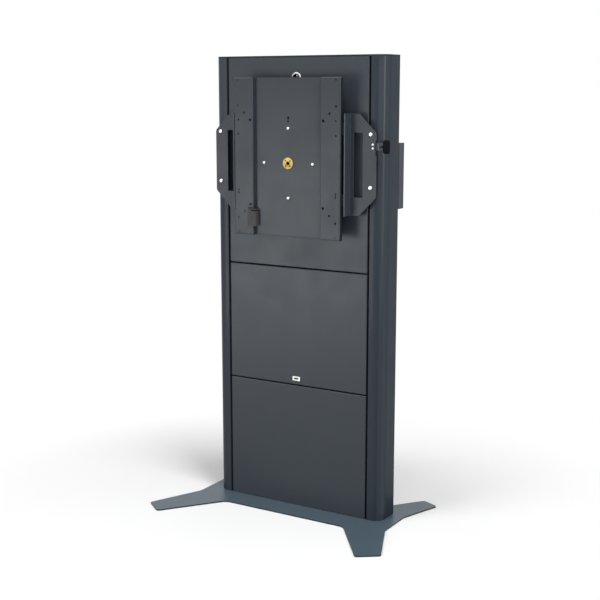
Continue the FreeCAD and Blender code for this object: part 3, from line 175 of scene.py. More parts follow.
def add_math(tree, operation, *terms):
    """A math node on sockets or numbers."""
    node = tree.nodes.new("ShaderNodeMath")
    node.operation = operation
    for entry, term in zip(node.inputs, terms):
        connect(tree, entry, term)
    return node.outputs["Value"]


def add_vector_math(tree, operation, *terms):
    """A vector math node on sockets or vectors."""
    node = tree.nodes.new("ShaderNodeVectorMath")
    node.operation = operation
    for entry, term in zip(node.inputs, terms):
        connect(tree, entry, term)
    return node.outputs["Value" if operation in ("DOT_PRODUCT", "LENGTH") else "Vector"]


def add_part(tree, vector, axis):
    """One part of a vector: X, Y or Z."""
    split = tree.nodes.new("ShaderNodeSeparateXYZ")
    tree.links.new(vector, split.inputs["Vector"])
    return split.outputs[axis]


def add_size(tree, vector, axis):
    """How large one part of a vector is, without its sign."""
    return add_math(tree, "ABSOLUTE", add_part(tree, vector, axis))


def add_bump(tree, height, distance, strength, normal):
    """A normal with a relief on it."""
    node = tree.nodes.new("ShaderNodeBump")
    node.inputs["Distance"].default_value = distance
    node.inputs["Strength"].default_value = strength
    tree.links.new(height, node.inputs["Height"])
    tree.links.new(normal, node.inputs["Normal"])
    return node.outputs["Normal"]


def add_normal(tree):
    """The direction in which a face looks."""
    return tree.nodes.new("ShaderNodeNewGeometry").outputs["Normal"]


def add_rounding(tree, radius):
    """A normal that is rounded over the edges."""
    bevel = tree.nodes.new("ShaderNodeBevel")
    bevel.samples = 6
    bevel.inputs["Radius"].default_value = radius
    return bevel.outputs["Normal"]


def add_edge_mask(tree, rounded, start=0.998, full=0.92):
    """1 where a rounded normal turns away from the face's own, which is on the edges, else 0."""
    likeness = add_vector_math(tree, "DOT_PRODUCT", rounded, add_normal(tree))
    return add_range(tree, likeness, start, full)


def add_behind(tree, place, depth):
    """1 behind a depth, 0 in front of it."""
    return add_range(tree, add_part(tree, place, "Y"), depth, depth + FINE_STEP)


# Powder coat


# Limits for painted_turn_tone that take in every face, because a size is never below 0
EVERY_FACE = (-0.2, -0.1)


def painted_turn_tone(start, full, tone, beyond=CORNER_FROM, rise=None):
    """A tone painted on faces that turn sideways, farther from the middle than beyond: painted light where
    it is lighter than the paint, painted shade where it is darker.

    It comes in between start and full, two sizes of the normal's part along X, and, where rise
    gives two levels in metres, it comes in between these too.
    """
    return start, full, tone, beyond, rise


def add_painted_turn_tones(tree, place, paint, tones):
    """Paint with painted light and painted shade for faces that turn sideways."""
    for start, full, tone, beyond, rise in tones:
        turned = add_range(tree, add_size(tree, add_normal(tree), "X"), start, full)
        far = add_range(tree, add_size(tree, place, "X"), beyond - SOFT_STEP, beyond)
        mask = add_math(tree, "MULTIPLY", turned, far)
        if rise is not None:
            high = add_range(tree, add_size(tree, place, "Z"), *rise)
            mask = add_math(tree, "MULTIPLY", mask, high)
        paint = add_mix(tree, mask, paint, tone)
    return paint


def add_tray_masks(tree, place):
    """1 from the tray's folds outward, and 1 on its flat parts: its flanges and its middle."""
    across = add_size(tree, place, "X")
    outward = add_range(tree, across, FLANGE_START, FLANGE_START + FINE_STEP)
    before_end = add_fall(tree, across, FLANGE_END, FLANGE_END + FINE_STEP)
    flange = add_math(tree, "MULTIPLY", outward, before_end)
    middle = add_fall(tree, across, TRAY_MIDDLE_END, TRAY_MIDDLE_END + FINE_STEP)
    return outward, add_math(tree, "MAXIMUM", flange, middle)


def add_tray_painted_rims(tree, place, paint, outward, flats, painted_rims):
    """Paint with a painted highlight on the tray's top rim, painted shade on its bottom rims, and the walls
    of the holes in its flat parts black as painted shade.

    painted_rims lists whether a rim is on the flanges or on the middle, two levels and its tone.
    """
    # Painted highlight on the top rim and painted shade on the bottom rims
    for on_flanges, start, full, tone in painted_rims:
        part = outward if on_flanges else add_reverse(tree, outward)
        near = add_range(tree, add_size(tree, place, "Z"), start, full)
        paint = add_mix(tree, add_math(tree, "MULTIPLY", part, near), paint, tone)
    # Painted shade: the walls of the holes in the flat parts are black
    edgewise = add_fall(tree, add_size(tree, add_normal(tree), "Y"), 0.45, 0.55)
    return add_mix(tree, add_math(tree, "MULTIPLY", flats, edgewise), paint, SHADE_BLACK)


def add_cover_shade(tree, paint, distance, clear, covered, deepest):
    """Paint with painted shade: darker where something covers it within a distance.

    clear and covered are how open a place is where the shade starts and where it is deepest.
    """
    cover = tree.nodes.new("ShaderNodeAmbientOcclusion")
    cover.samples = 8
    cover.inputs["Distance"].default_value = distance
    dark = add_range(tree, cover.outputs["AO"], covered, clear, deepest, 0.0)
    return add_mix(tree, dark, paint, SHADE_BLACK)


def powder_coat(
    name, colour, rough=0.5, edge=1.5, grain=0.35, bevel=0.0009, gloss=0.25, coat=0.0, upright=1.0,
    turned=(), spread=(0.998, 0.92), edge_evenness=0.35, painted_rims=(), painted_cover_shade=None, forward=(),
):
    """Fine-textured powder coat: clouded tone, speckle, orange peel, and edges rubbed lighter or painted
    lighter or darker.

    edge is how much lighter the edges are: rubbed wear on most paints, partly painted highlights
    on the tray's, and painted shade on the foot's and the sheet's, where it is below 1. spread is
    how far they reach and edge_evenness how evenly. upright is painted shade: it darkens a flat
    plate where it doesn't look up. turned lists painted light and painted shade for faces that
    turn sideways. forward lists painted light: how much lighter the paint is in front of a depth.
    painted_rims is for the tray alone: a painted highlight and painted shade along its rims, edge
    marks only on its flat parts, where its holes are, and the holes' walls black as painted
    shade. painted_cover_shade is painted shade: it darkens what is covered closely.
    """
    material, tree, shader, place = new_material(name)
    shader.inputs["Specular IOR Level"].default_value = gloss
    shader.inputs["Coat Weight"].default_value = coat
    shader.inputs["Coat Roughness"].default_value = 0.15

    clouds = add_noise(tree, place, scale=3.2, detail=4.0, roughness=0.55)
    tone = add_mix(tree, clouds, shade(colour, 0.93), shade(colour, 1.07))
    speckle = add_range(tree, add_noise(tree, place, scale=850.0, detail=2.0), 0.35, 0.65)
    grains = add_mix(tree, speckle, shade(colour, 0.82), shade(colour, 1.2))
    paint = add_mix(tree, grain, tone, grains)

    # Edges made lighter or darker by edge: rubbed wear on most paints, painted highlights and painted shade
    # on some
    normal = add_rounding(tree, bevel)
    edge_patches = add_spread(tree, add_noise(tree, place, scale=45.0), edge_evenness, 1.0)
    edge_wear_and_painted_light = add_math(tree, "MULTIPLY", add_edge_mask(tree, normal, *spread), edge_patches)
    if painted_rims:
        outward, flats = add_tray_masks(tree, place)
        edge_wear_and_painted_light = add_math(tree, "MULTIPLY", edge_wear_and_painted_light, flats)
    paint = add_mix(tree, edge_wear_and_painted_light, paint, shade(colour, edge))

    # Painted shade on faces that don't look up
    if upright < 1.0:
        standing = add_fall(tree, add_part(tree, add_normal(tree), "Z"), 0.35, 0.75)
        paint = add_mix(tree, standing, paint, shade(colour, upright))
    # Painted light and painted shade on faces that turn sideways
    paint = add_painted_turn_tones(tree, place, paint, turned)
    # Painted light: lighter in front of each depth
    for depth, factor in forward:
        ahead = add_range(tree, add_part(tree, place, "Y"), depth, depth - SOFT_STEP)
        paint = add_mix(tree, ahead, paint, shade(colour, factor))
    # Painted highlight and painted shade on the tray's rims, and painted shade in its holes
    if painted_rims:
        paint = add_tray_painted_rims(tree, place, paint, outward, flats, painted_rims)
    # Painted shade where something covers the paint closely
    if painted_cover_shade is not None:
        paint = add_cover_shade(tree, paint, **painted_cover_shade)
    tree.links.new(paint, shader.inputs["Base Color"])

    peel = add_noise(tree, place, scale=260.0, detail=2.0)
    texture = add_noise(tree, place, scale=900.0, detail=2.0)
    normal = add_bump(tree, peel, distance=0.0004, strength=0.10, normal=normal)
    normal = add_bump(tree, texture, distance=0.0002, strength=0.22, normal=normal)
    tree.links.new(normal, shader.inputs["Normal"])
    patches = add_noise(tree, place, scale=9.0)
    tree.links.new(add_spread(tree, patches, rough - 0.04, rough + 0.05), shader.inputs["Roughness"])
    return material


# The front panels: painted shade where the tray and the wings cover them closely
panel_paint = powder_coat(
    "panel_powder_coat", COLUMN_GREY, rough=0.36, edge=1.3, grain=0.4,
    painted_cover_shade={"distance": 0.12, "clear": 0.42, "covered": 0.08, "deepest": 0.85},
)
profile_paint = powder_coat(
    "profile_powder_coat", PROFILE_BLUE, rough=0.4, edge=1.4, grain=0.3, gloss=0.06, coat=0.1,
    # From the front strip round the corner to the side: painted shade, painted light, a painted highlight
    # line that fades out lower down, a lighter band as painted light and a darker side as painted shade
    turned=(
        painted_turn_tone(0.15, 0.42, shade(PROFILE_BLUE, 0.85)),
        painted_turn_tone(0.48, 0.64, shade(PROFILE_BLUE, 1.2)),
        painted_turn_tone(0.68, 0.72, CORNER_HIGHLIGHT, rise=(0.72, 1.5)),
        painted_turn_tone(0.77, 0.81, LIT_CORNER_BLUE),
        painted_turn_tone(0.965, 0.999, SHADED_SIDE_BLUE),
    ),
)
# The left profile: a lighter copy of the profile paint as painted light, with painted shade on its corner
# and side and painted light towards its top
lit_left_profile_paint = powder_coat(
    "lit_left_profile_powder_coat", LIT_LEFT_PROFILE_BLUE, rough=0.4, edge=1.2, grain=0.3, gloss=0.06, coat=0.1,
    turned=(
        painted_turn_tone(0.15, 0.42, shade(PROFILE_BLUE, 0.92)),
        painted_turn_tone(*EVERY_FACE, LIT_LEFT_TOP_BLUE, beyond=STRIP_FROM, rise=(1.1, 1.45)),
        painted_turn_tone(0.965, 0.999, SHADED_SIDE_BLUE),
    ),
)
cap_paint = powder_coat("cap_powder_coat", PROFILE_BLUE, rough=0.45, edge=1.0, grain=0.3, gloss=0.04)
box_paint = powder_coat("box_powder_coat", BOX_GREY, rough=0.45, edge=1.3, gloss=0.1)
# The wings and other carriage sheet: edges lighter, partly as rubbed wear and partly as painted highlights
# along bends and folds, and the folds lighter in front as painted light
tray_paint = powder_coat(
    "tray_powder_coat", TRAY_GREY, rough=0.38, edge=3.2, bevel=0.0014,
    forward=((-0.015, 1.45), (-0.046, 2.2)),
)
# The knob bracket: lighter in front as painted light
bracket_paint = powder_coat(
    "bracket_powder_coat", TRAY_GREY, rough=0.38, edge=2.0, forward=((-0.0318, 3.0),),
)
# The tray's sheet: its edges on its flat parts, round its holes, painted dark as painted shade, its inner
# folds lighter as painted light, its outer returns darker as painted shade, a painted highlight along its
# top rim, and painted shade along its bottom rims and in its recess near the steps
sheet_paint = powder_coat(
    "sheet_powder_coat", TRAY_GREY, rough=0.38, edge=0.1, bevel=0.0027, spread=(0.9998, 0.985), edge_evenness=0.95,
    turned=(
        painted_turn_tone(0.3, 0.8, LIT_TRAY_FOLD, beyond=FOLD_FROM),
        painted_turn_tone(0.8, 0.97, shade(TRAY_GREY, 0.5), beyond=RETURN_FROM),
    ),
    painted_rims=(
        (True, 1.5812, 1.5822, TRAY_TOP_HIGHLIGHT),
        (True, 1.0310, 1.0302, FLANGE_LOW_SHADE),
        (False, 1.0340, 1.0325, MIDDLE_LOW_SHADE),
    ),
    painted_cover_shade={"distance": 0.035, "clear": 1.0, "covered": 0.6, "deepest": 0.3},
)
# The foot: its upright faces and its edges painted darker as painted shade
foot_paint = powder_coat(
    "foot_powder_coat", FOOT_BLUE, rough=0.38, edge=0.8, grain=0.3, bevel=0.001, gloss=0.35, upright=0.12,
)
frame_paint = powder_coat("frame_black_paint", FRAME_BLACK, rough=0.55, edge=2.0)

# Metals and plastics


def add_bore_mask(tree, place, level, radius, behind):
    """1 round the line along Y through the middle at a level, within a radius and behind a depth."""
    centred = add_vector_math(tree, "SUBTRACT", place, (0.0, 0.0, level))
    flat = add_vector_math(tree, "MULTIPLY", centred, (1.0, 0.0, 1.0))
    near = add_fall(tree, add_vector_math(tree, "LENGTH", flat), radius - BORE_STEP, radius)
    return add_math(tree, "MULTIPLY", near, add_behind(tree, place, behind))


def add_stained(tree, noise, colour, dull):
    """A metal's colour with duller patches."""
    return add_mix(tree, add_range(tree, noise, 0.35, 0.7), colour, shade(colour, dull))


def set_drawn_marks(tree, shader, marks, rough, rounding):
    """Give a metal its marks, in its roughness and as a relief."""
    tree.links.new(add_spread(tree, marks, rough - 0.06, rough + 0.08), shader.inputs["Roughness"])
    normal = add_bump(tree, marks, distance=0.0001, strength=0.2, normal=add_rounding(tree, rounding))
    tree.links.new(normal, shader.inputs["Normal"])


def metal(name, colour, rough, grain=(1.0, 1.0, 1.0), scale=240.0, dull=0.82, bore=None):
    """Machined or plated metal with fine drawn marks, duller patches and, if asked, a bore painted black as
    painted shade.
    """
    material, tree, shader, place = new_material(name)
    tone = add_stained(tree, add_noise(tree, place, scale=28.0, detail=4.0), colour, dull)
    shader.inputs["Metallic"].default_value = 1.0
    if bore is not None:
        # Painted shade: the bore black and not metallic
        inside = add_bore_mask(tree, place, **bore)
        tone = add_mix(tree, inside, tone, SHADE_BLACK)
        tree.links.new(add_reverse(tree, inside), shader.inputs["Metallic"])
        tree.links.new(add_reverse(tree, inside, 0.5), shader.inputs["Specular IOR Level"])
    tree.links.new(tone, shader.inputs["Base Color"])
    marks = add_noise(tree, place, scale, roughness=0.6, stretch=grain)
    set_drawn_marks(tree, shader, marks, rough, METAL_ROUND)
    return material


def plastic(name, colour, rough, edge=1.3, gloss=0.2, groove=None):
    """Moulded plastic with a fine spark-eroded texture.

    groove gives two levels and a depth: the plastic is black between the levels behind it, as painted shade
    in the groove.
    """
    material, tree, shader, place = new_material(name)
    shader.inputs["Specular IOR Level"].default_value = gloss
    clouds = add_noise(tree, place, scale=22.0)
    tone = add_mix(tree, clouds, shade(colour, 0.9), shade(colour, 1.1))
    normal = add_rounding(tree, PLASTIC_ROUND)
    tone = add_mix(tree, add_edge_mask(tree, normal), tone, shade(colour, edge))
    # Painted shade: black in the groove
    if groove is not None:
        low, high, behind = groove
        level = add_size(tree, place, "Z")
        above = add_range(tree, level, low - FINE_STEP, low)
        below = add_fall(tree, level, high, high + FINE_STEP)
        inside = add_math(tree, "MULTIPLY", above, below)
        dark = add_math(tree, "MULTIPLY", inside, add_behind(tree, place, behind))
        tone = add_mix(tree, dark, tone, SHADE_BLACK)
    tree.links.new(tone, shader.inputs["Base Color"])
    texture = add_noise(tree, place, scale=700.0, detail=2.0)
    normal = add_bump(tree, texture, distance=0.0002, strength=0.3, normal=normal)
    tree.links.new(normal, shader.inputs["Normal"])
    tree.links.new(add_spread(tree, texture, rough - 0.05, rough + 0.07), shader.inputs["Roughness"])
    return material


def plate_with_dark_field(name, face, field, rough, half_width, half_height, level, depth):
    """Satin metal with a dark field: a box about a level, behind a depth."""
    material, tree, shader, place = new_material(name)
    inside = add_math(tree, "GREATER_THAN", add_part(tree, place, "Y"), depth)
    for axis, centre, reach in (("X", 0.0, half_width), ("Z", level, half_height)):
        within = add_math(tree, "COMPARE", add_part(tree, place, axis), centre, reach)
        inside = add_math(tree, "MULTIPLY", inside, within)
    tone = add_stained(tree, add_noise(tree, place, scale=60.0), face, 0.85)
    tree.links.new(add_mix(tree, inside, tone, field), shader.inputs["Base Color"])
    tree.links.new(add_reverse(tree, inside), shader.inputs["Metallic"])
    marks = add_noise(tree, place, scale=420.0, roughness=0.6, stretch=(0.2, 1.0, 1.0))
    set_drawn_marks(tree, shader, marks, rough, PLASTIC_ROUND)
    return material


# Marks that run level, as turning and grinding leave them on an upright piece
LEVEL_GRAIN = (0.15, 0.15, 3.0)
zinc = metal("bright_zinc", (0.78, 0.79, 0.8), rough=0.32, scale=420.0, dull=0.9)
steel = metal("ground_steel", (0.6, 0.61, 0.62), rough=0.28, grain=LEVEL_GRAIN)
screw_steel = metal("oiled_steel", (0.12, 0.12, 0.125), rough=0.4, grain=LEVEL_GRAIN)
# The ring's and the bush's bores are painted black: painted shade
satin = metal(
    "satin_metal", (0.45, 0.455, 0.45), rough=0.42, scale=500.0,
    bore={"level": RING_Z, "radius": 0.0138, "behind": -0.1},
)
brass = metal(
    "turned_brass", (0.262, 0.19, 0.066), rough=0.36, scale=380.0, dull=0.85,
    bore={"level": CENTRE_Z, "radius": 0.0195, "behind": -0.0464},
)
bronze = metal("turned_bronze", (0.55, 0.36, 0.17), rough=0.4)
cast = metal("cast_housing", (0.35, 0.36, 0.37), rough=0.55, scale=160.0)
nickel = metal("nickel_plate", (0.62, 0.6, 0.57), rough=0.3)
acetal = plastic("acetal", (0.68, 0.68, 0.64), rough=0.4)
black = plastic("black_moulded", (0.006, 0.006, 0.0065), rough=0.6, edge=1.8, gloss=0.02)
# The block: its groove painted black as painted shade
block_grey = plastic(
    "block_moulded", (0.049, 0.0465, 0.044), rough=0.55, gloss=0.1, groove=(1.1124, 1.1168, -0.063),
)
badge_metal = plate_with_dark_field(
    "badge_metal", face=(0.6, 0.6, 0.59), field=(0.012, 0.013, 0.015), rough=0.4,
    half_width=0.0091, half_height=0.0036, level=0.494, depth=0.0101,
)

# Which finish each CAD node gets, by its material slot or by its own name

SLOT_FINISH = {
    "column_paint": profile_paint,
    "foot_paint": foot_paint,
    "tray_paint": tray_paint,
    "frame_steel": frame_paint,
    "zinc_fasteners": zinc,
    "ground_steel": steel,
    "satin_metal": satin,
    "bush_brass": brass,
    "nut_bronze": bronze,
    "glide_plastic": acetal,
    "black_plastic": black,
    "block_plastic": block_grey,
    "drive_housing": cast,
    "magnet_metal": nickel,
}
OWN_FINISH = {
    "upper_front_panel": panel_paint,
    "middle_front_panel": panel_paint,
    "lower_front_panel": panel_paint,
    "left_side_profile": lit_left_profile_paint,
    "top_cap": cap_paint,
    "rear_box": box_paint,
    "rear_box_lid": box_paint,
    "mount_tray": sheet_paint,
    "knob_bracket": bracket_paint,
    "lift_screw": screw_steel,
    "panel_badge": badge_metal,
}
slot_of = {part["node"]: part["material_slot"] for part in frame["record"]["subparts"]}
for name, item in nodes.items():
    finish = OWN_FINISH.get(name, SLOT_FINISH[slot_of[name]])
    for material_slot in item.material_slots:
        material_slot.material = finish

# Mesh helpers

FASTENER_SIDES = 48
TURNED_SIDES = 64


def mesh_object(name, mesh_data, material, smooth_angle=35):
    """An object from a bmesh, with consistent normals and smooth shading up to an angle."""
    bmesh.ops.recalc_face_normals(mesh_data, faces=mesh_data.faces)
    mesh = bpy.data.meshes.new(name)
    mesh_data.to_mesh(mesh)
    mesh_data.free()
    for face in mesh.polygons:
        face.use_smooth = True
    mesh.set_sharp_from_angle(angle=radians(smooth_angle))
    mesh.materials.append(material)
    item = bpy.data.objects.new(name, mesh)
    bpy.context.scene.collection.objects.link(item)
    return item


def add_loops(target, rings, matrix, count):
    """A loop of vertices for each ring: a height and a radius that may depend on the angle."""
    loops = []
    for height, radius in rings:
        loop = []
        for step in range(count):
            angle = 2 * pi * step / count
            reach = radius(angle) if callable(radius) else radius
            loop.append(target.verts.new(matrix @ Vector((reach * cos(angle), reach * sin(angle), height))))
        loops.append(loop)
    return loops


def add_bands(target, loops, next_loops):
    """Faces from each loop to the next."""
    for lower, upper in zip(loops, next_loops):
        count = len(lower)
        for step in range(count):
            after = (step + 1) % count
            target.faces.new((lower[step], lower[after], upper[after], upper[step]))


def ring_stack(target, rings, matrix, count):
    """Closed surface through rings, with a face at each end."""
    loops = add_loops(target, rings, matrix, count)
    add_bands(target, loops, loops[1:])
    target.faces.new(loops[0])
    target.faces.new(loops[-1])


def bored_stack(target, rings, matrix, count):
    """Surface through rings that closes on itself, for turned pieces with a hole through them."""
    loops = add_loops(target, rings, matrix, count)
    add_bands(target, loops, loops[1:] + loops[:1])


def in_metres(rings):
    """Heights and radii from millimetres."""
    return [(height * MM, radius * MM) for height, radius in rings]


def hexagon_edge(apothem):
    """Radius of a hexagon at an angle."""
    return lambda angle: apothem / cos((angle % (pi / 3)) - pi / 6)


def cross_edge(reach, half):
    """Radius of an upright cross at an angle: arms of the given reach and half width."""
    corner = atan(half / reach)

    def edge(angle):
        turned = (angle + pi / 4) % (pi / 2) - pi / 4
        if abs(turned) <= corner:
            return reach / cos(turned)
        return half / abs(sin(turned))

    return edge


def facing(direction, place):
    """Matrix that puts local Z along a direction at a place."""
    return Matrix.Translation(place) @ Vector(direction).to_track_quat("Z", "Y").to_matrix().to_4x4()


# Fasteners

# Proportions of a head are shares of its height, its radius or its socket; chamfers are in metres
DOME_STEPS = (0.35, 0.6, 0.8, 0.93, 1.0)
DOME_ANGLE = radians(62)
DOME_START = 0.3
DOME_FLAT = 0.42
RIM_HEIGHT = 0.12
FOOT_RADIUS = 0.97
SHANK_TIP = 0.82
SHANK_CHAMFER = 0.0008
SOCKET_MOUTH = 1.06
SOCKET_CHAMFER = 0.0002
SOCKET_FLOOR = 0.42
SOCKET_POINT = 0.3
POINT_RADIUS = 0.35


def domed_head(target, matrix, radius, height, socket, shank_radius, shank_length):
    """Round head with a rolled rim, a domed top and a socket, on a shank along its own minus Z."""
    rings = [(-shank_length, shank_radius * SHANK_TIP), (-shank_length + SHANK_CHAMFER, shank_radius)]
    rings += [(0.0, shank_radius), (0.0, radius * FOOT_RADIUS), (height * RIM_HEIGHT, radius)]
    for part in DOME_STEPS:
        angle = part * DOME_ANGLE
        rise = DOME_START + (1 - DOME_START) * sin(angle) / sin(DOME_ANGLE)
        reach = DOME_FLAT + (1 - DOME_FLAT) * cos(angle)
        rings.append((height * rise, radius * reach))
    rings.append((height, lambda angle: socket(angle) * SOCKET_MOUTH))
    rings.append((height - SOCKET_CHAMFER, socket))
    rings.append((height * SOCKET_FLOOR, socket))
    rings.append((height * SOCKET_POINT, lambda angle: socket(angle) * POINT_RADIUS))
    ring_stack(target, rings, matrix, FASTENER_SIDES)


def fasteners(name, node, places, direction, radius, height, socket, shank_radius, shank_length, body):
    """Domed screws at their places, in one piece that replaces a node."""
    mesh_data = bmesh.new()
    for place in places:
        domed_head(mesh_data, facing(direction, place), radius, height, socket, shank_radius, shank_length)
    item = mesh_object(name, mesh_data, zinc)
    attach(item, body)
    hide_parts(node)


FRONT = (0, -1, 0)
BACK = (0, 1, 0)
RIGHT = (1, 0, 0)

WING_BOLT_X = 310 * MM
WING_BOLT_RISES = (105.7 * MM, -75.4 * MM)
wing_bolt_places = [
    Vector((side * WING_BOLT_X, WING_FACE, CENTRE_Z + rise)) for side in (-1, 1) for rise in WING_BOLT_RISES
]
fasteners(
    "wing_cap_screws", "wing_bolts", wing_bolt_places, FRONT, radius=7 * MM, height=4.5 * MM,
    socket=hexagon_edge(2.4 * MM), shank_radius=4 * MM, shank_length=14.4 * MM, body="carriage",
)

TRAY_SCREW_X = 100 * MM
TRAY_SCREW_RISE = 122.5 * MM
tray_screw_places = [
    Vector((right * TRAY_SCREW_X, TRAY_FACE, CENTRE_Z + up * TRAY_SCREW_RISE))
    for right, up in ((1, 0), (-1, 0), (0, 1), (0, -1))
]
fasteners(
    "tray_pan_screws", "tray_screws", tray_screw_places, FRONT, radius=5.2 * MM, height=3.5 * MM,
    socket=cross_edge(2.4 * MM, 0.6 * MM), shank_radius=3 * MM, shank_length=12 * MM, body="carriage",
)

BRACKET_SCREW_X = 318 * MM
BRACKET_SCREW_LEVELS = (1345.5 * MM, 1358.5 * MM)
bracket_screw_places = [Vector((BRACKET_SCREW_X, WING_FACE, z)) for z in BRACKET_SCREW_LEVELS]
fasteners(
    "bracket_pan_screws", "bracket_screws", bracket_screw_places, FRONT, radius=3.8 * MM, height=2 * MM,
    socket=cross_edge(1.7 * MM, 0.45 * MM), shank_radius=2 * MM, shank_length=6.4 * MM, body="carriage",
)

REAR_SCREW_X = 284 * MM
REAR_SCREW_LEVELS = (37 * MM, 829.5 * MM, 1622 * MM)
rear_screw_places = [
    Vector((side * REAR_SCREW_X, COLUMN_BACK, z)) for side in (-1, 1) for z in REAR_SCREW_LEVELS
]
fasteners(
    "rear_pan_screws", "rear_panel_screws", rear_screw_places, BACK, radius=4.5 * MM, height=2 * MM,
    socket=cross_edge(2.1 * MM, 0.55 * MM), shank_radius=2.5 * MM, shank_length=2.4 * MM, body="column",
)

# Turned pieces

# Heights and radii in millimetres, from the back end forward over the collar and back in the bore
BUSH_PROFILE = (
    (-13.5, 5.6), (-13.5, 13.2), (-12.9, 13.8), (0, 13.8), (0, 20.6), (0.4, 21.0), (2.2, 21.0), (2.7, 20.7),
    (3.0, 20.2), (3.0, 17.6), (2.8, 17.3), (2.8, 16.9), (3.0, 16.6), (3.0, 7.4), (2.8, 6.9), (2.5, 5.9),
    (1.9, 5.2), (1.3, 5.0), (-12.9, 5.0),
)
bush = bmesh.new()
bored_stack(bush, in_metres(BUSH_PROFILE), facing(FRONT, Vector((0, TRAY_FACE, CENTRE_Z))), TURNED_SIDES)
bush_item = mesh_object("turned_bush", bush, brass, smooth_angle=30)

RING_PROFILE = (
    (-14.0, 10.6), (-14.0, 13.9), (-13.4, 14.5), (0, 14.5), (0, 19.3), (0.3, 19.5), (1.2, 19.4), (2.0, 18.9),
    (2.6, 18.0), (2.95, 16.8), (3.0, 15.4), (2.8, 13.2), (2.3, 11.8), (1.5, 10.7), (0.4, 10.1), (-0.8, 10.0),
    (-13.4, 10.0),
)
ring = bmesh.new()
bored_stack(ring, in_metres(RING_PROFILE), facing(FRONT, Vector((0, COLUMN_FRONT, RING_Z))), TURNED_SIDES)
ring_item = mesh_object("outlet_ring", ring, satin, smooth_angle=30)
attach(ring_item, "column")
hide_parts("cable_outlet_ring")

# Clamp knob: an upright bar grip with rounded edges, grooves round it and a short hub

KNOB_Y = COLUMN_FRONT - 32 * MM
KNOB_Z = 1352 * MM
KNOB_X = 360.3 * MM
KNOB_SIDES = 128
BAR_HALF_WIDTH = 9.25 * MM
BAR_HALF_LENGTH = 22.75 * MM
BAR_CORNER = 8 * MM
LEAST_CORNER = 0.5 * MM


def bar_outline(inset):
    """Radius at an angle of the bar's rounded outline, drawn in by inset."""
    across = BAR_HALF_WIDTH - inset
    along = BAR_HALF_LENGTH - inset
    corner = max(BAR_CORNER - inset, LEAST_CORNER)
    corner_x = across - corner
    corner_y = along - corner

    def edge(angle):
        right = abs(cos(angle))
        up = abs(sin(angle))
        if up * across <= right * corner_y:
            return across / right
        if right * along <= up * corner_x:
            return along / up
        toward = right * corner_x + up * corner_y
        return toward + sqrt(toward ** 2 - hypot(corner_x, corner_y) ** 2 + corner ** 2)

    return edge


# Heights and radii of the hub, then heights and insets of the bar, all in millimetres
hub_rings = [(0.0, 5.0), (0.5, 5.5), (3.9, 5.5), (4.0, 5.6)]
bar_rings = [(4.0, 3.4), (4.4, 2.2), (5.4, 1.1), (6.8, 0.4), (8.4, 0.0)]
for groove in (10.0, 13.5, 17.0):
    bar_rings += [(groove - 0.9, 0.0), (groove - 0.4, 0.5), (groove + 0.4, 0.5), (groove + 0.9, 0.0)]
bar_rings += [(19.6, 0.0), (21.4, 0.35), (22.8, 1.0), (24.0, 2.2)]
bar_rings += [(24.5, 3.8), (24.4, 4.6), (24.0, 5.2), (24.0, 6.5)]

knob = bmesh.new()
knob_rings = in_metres(hub_rings) + [(height * MM, bar_outline(inset * MM)) for height, inset in bar_rings]
ring_stack(knob, knob_rings, facing(RIGHT, Vector((KNOB_X, KNOB_Y, KNOB_Z))), KNOB_SIDES)
knob_item = mesh_object("bar_knob", knob, black, smooth_angle=40)
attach(knob_item, "knob")
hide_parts("clamp_knob")

# Threaded stud, black, from behind the bracket's tab into the knob

STUD_X = 345.5 * MM
STUD_SIDES = 32
THREAD_TURNS = 14
THREAD_START = 0.8
CREST = 3.0
ROOT = 2.5

# Heights and radii in millimetres: a chamfered end, the thread and a plain end in the knob
stud_rings = [(0.0, 2.2), (0.7, 2.9)]
for turn in range(THREAD_TURNS):
    start = THREAD_START + turn
    stud_rings += [(start, CREST), (start + 0.15, CREST), (start + 0.5, ROOT), (start + 0.65, ROOT)]
stud_rings += [(14.8, CREST), (28.2, CREST)]

stud = bmesh.new()
ring_stack(stud, in_metres(stud_rings), facing(RIGHT, Vector((STUD_X, KNOB_Y, KNOB_Z))), STUD_SIDES)
stud_item = mesh_object("threaded_stud", stud, frame_paint, smooth_angle=25)
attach(stud_item, "knob")
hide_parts("knob_stud")

# Blind dimples in the bush, cut by small drills

DIMPLE_OFFSET = 9 * MM
DRILL_SIDES = 24
DRILL_CLEARANCE = 1 * MM
CONE_DEPTH = 0.5
CONE_TIP = 0.05


def drilled(item, places, radius, depth, direction, face):
    """Cut blind holes with conical floors into a piece and keep the result as its mesh."""
    rings = [(face + DRILL_CLEARANCE, radius), (face - depth, radius)]
    rings.append((face - depth - radius * CONE_DEPTH, radius * CONE_TIP))
    drills = bmesh.new()
    for place in places:
        ring_stack(drills, rings, facing(direction, place), DRILL_SIDES)
    tool = mesh_object(item.name + "_drills", drills, brass)
    cutter = item.modifiers.new("drill", "BOOLEAN")
    cutter.operation = "DIFFERENCE"
    cutter.solver = "EXACT"
    cutter.object = tool
    graph = bpy.context.evaluated_depsgraph_get()
    mesh = bpy.data.meshes.new_from_object(item.evaluated_get(graph))
    item.modifiers.clear()
    item.data = mesh
    bpy.data.objects.remove(tool)


dimple_places = [
    Vector((x, TRAY_FACE, CENTRE_Z + rise))
    for x in (-DIMPLE_OFFSET, DIMPLE_OFFSET) for rise in (-DIMPLE_OFFSET, DIMPLE_OFFSET)
]
drilled(bush_item, dimple_places, radius=2.2 * MM, depth=1 * MM, direction=FRONT, face=3 * MM)
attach(bush_item, "carriage")
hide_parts("centre_bush")

# Floor: pale and matt, lifted a little behind the stand, and white farther out where it is seen

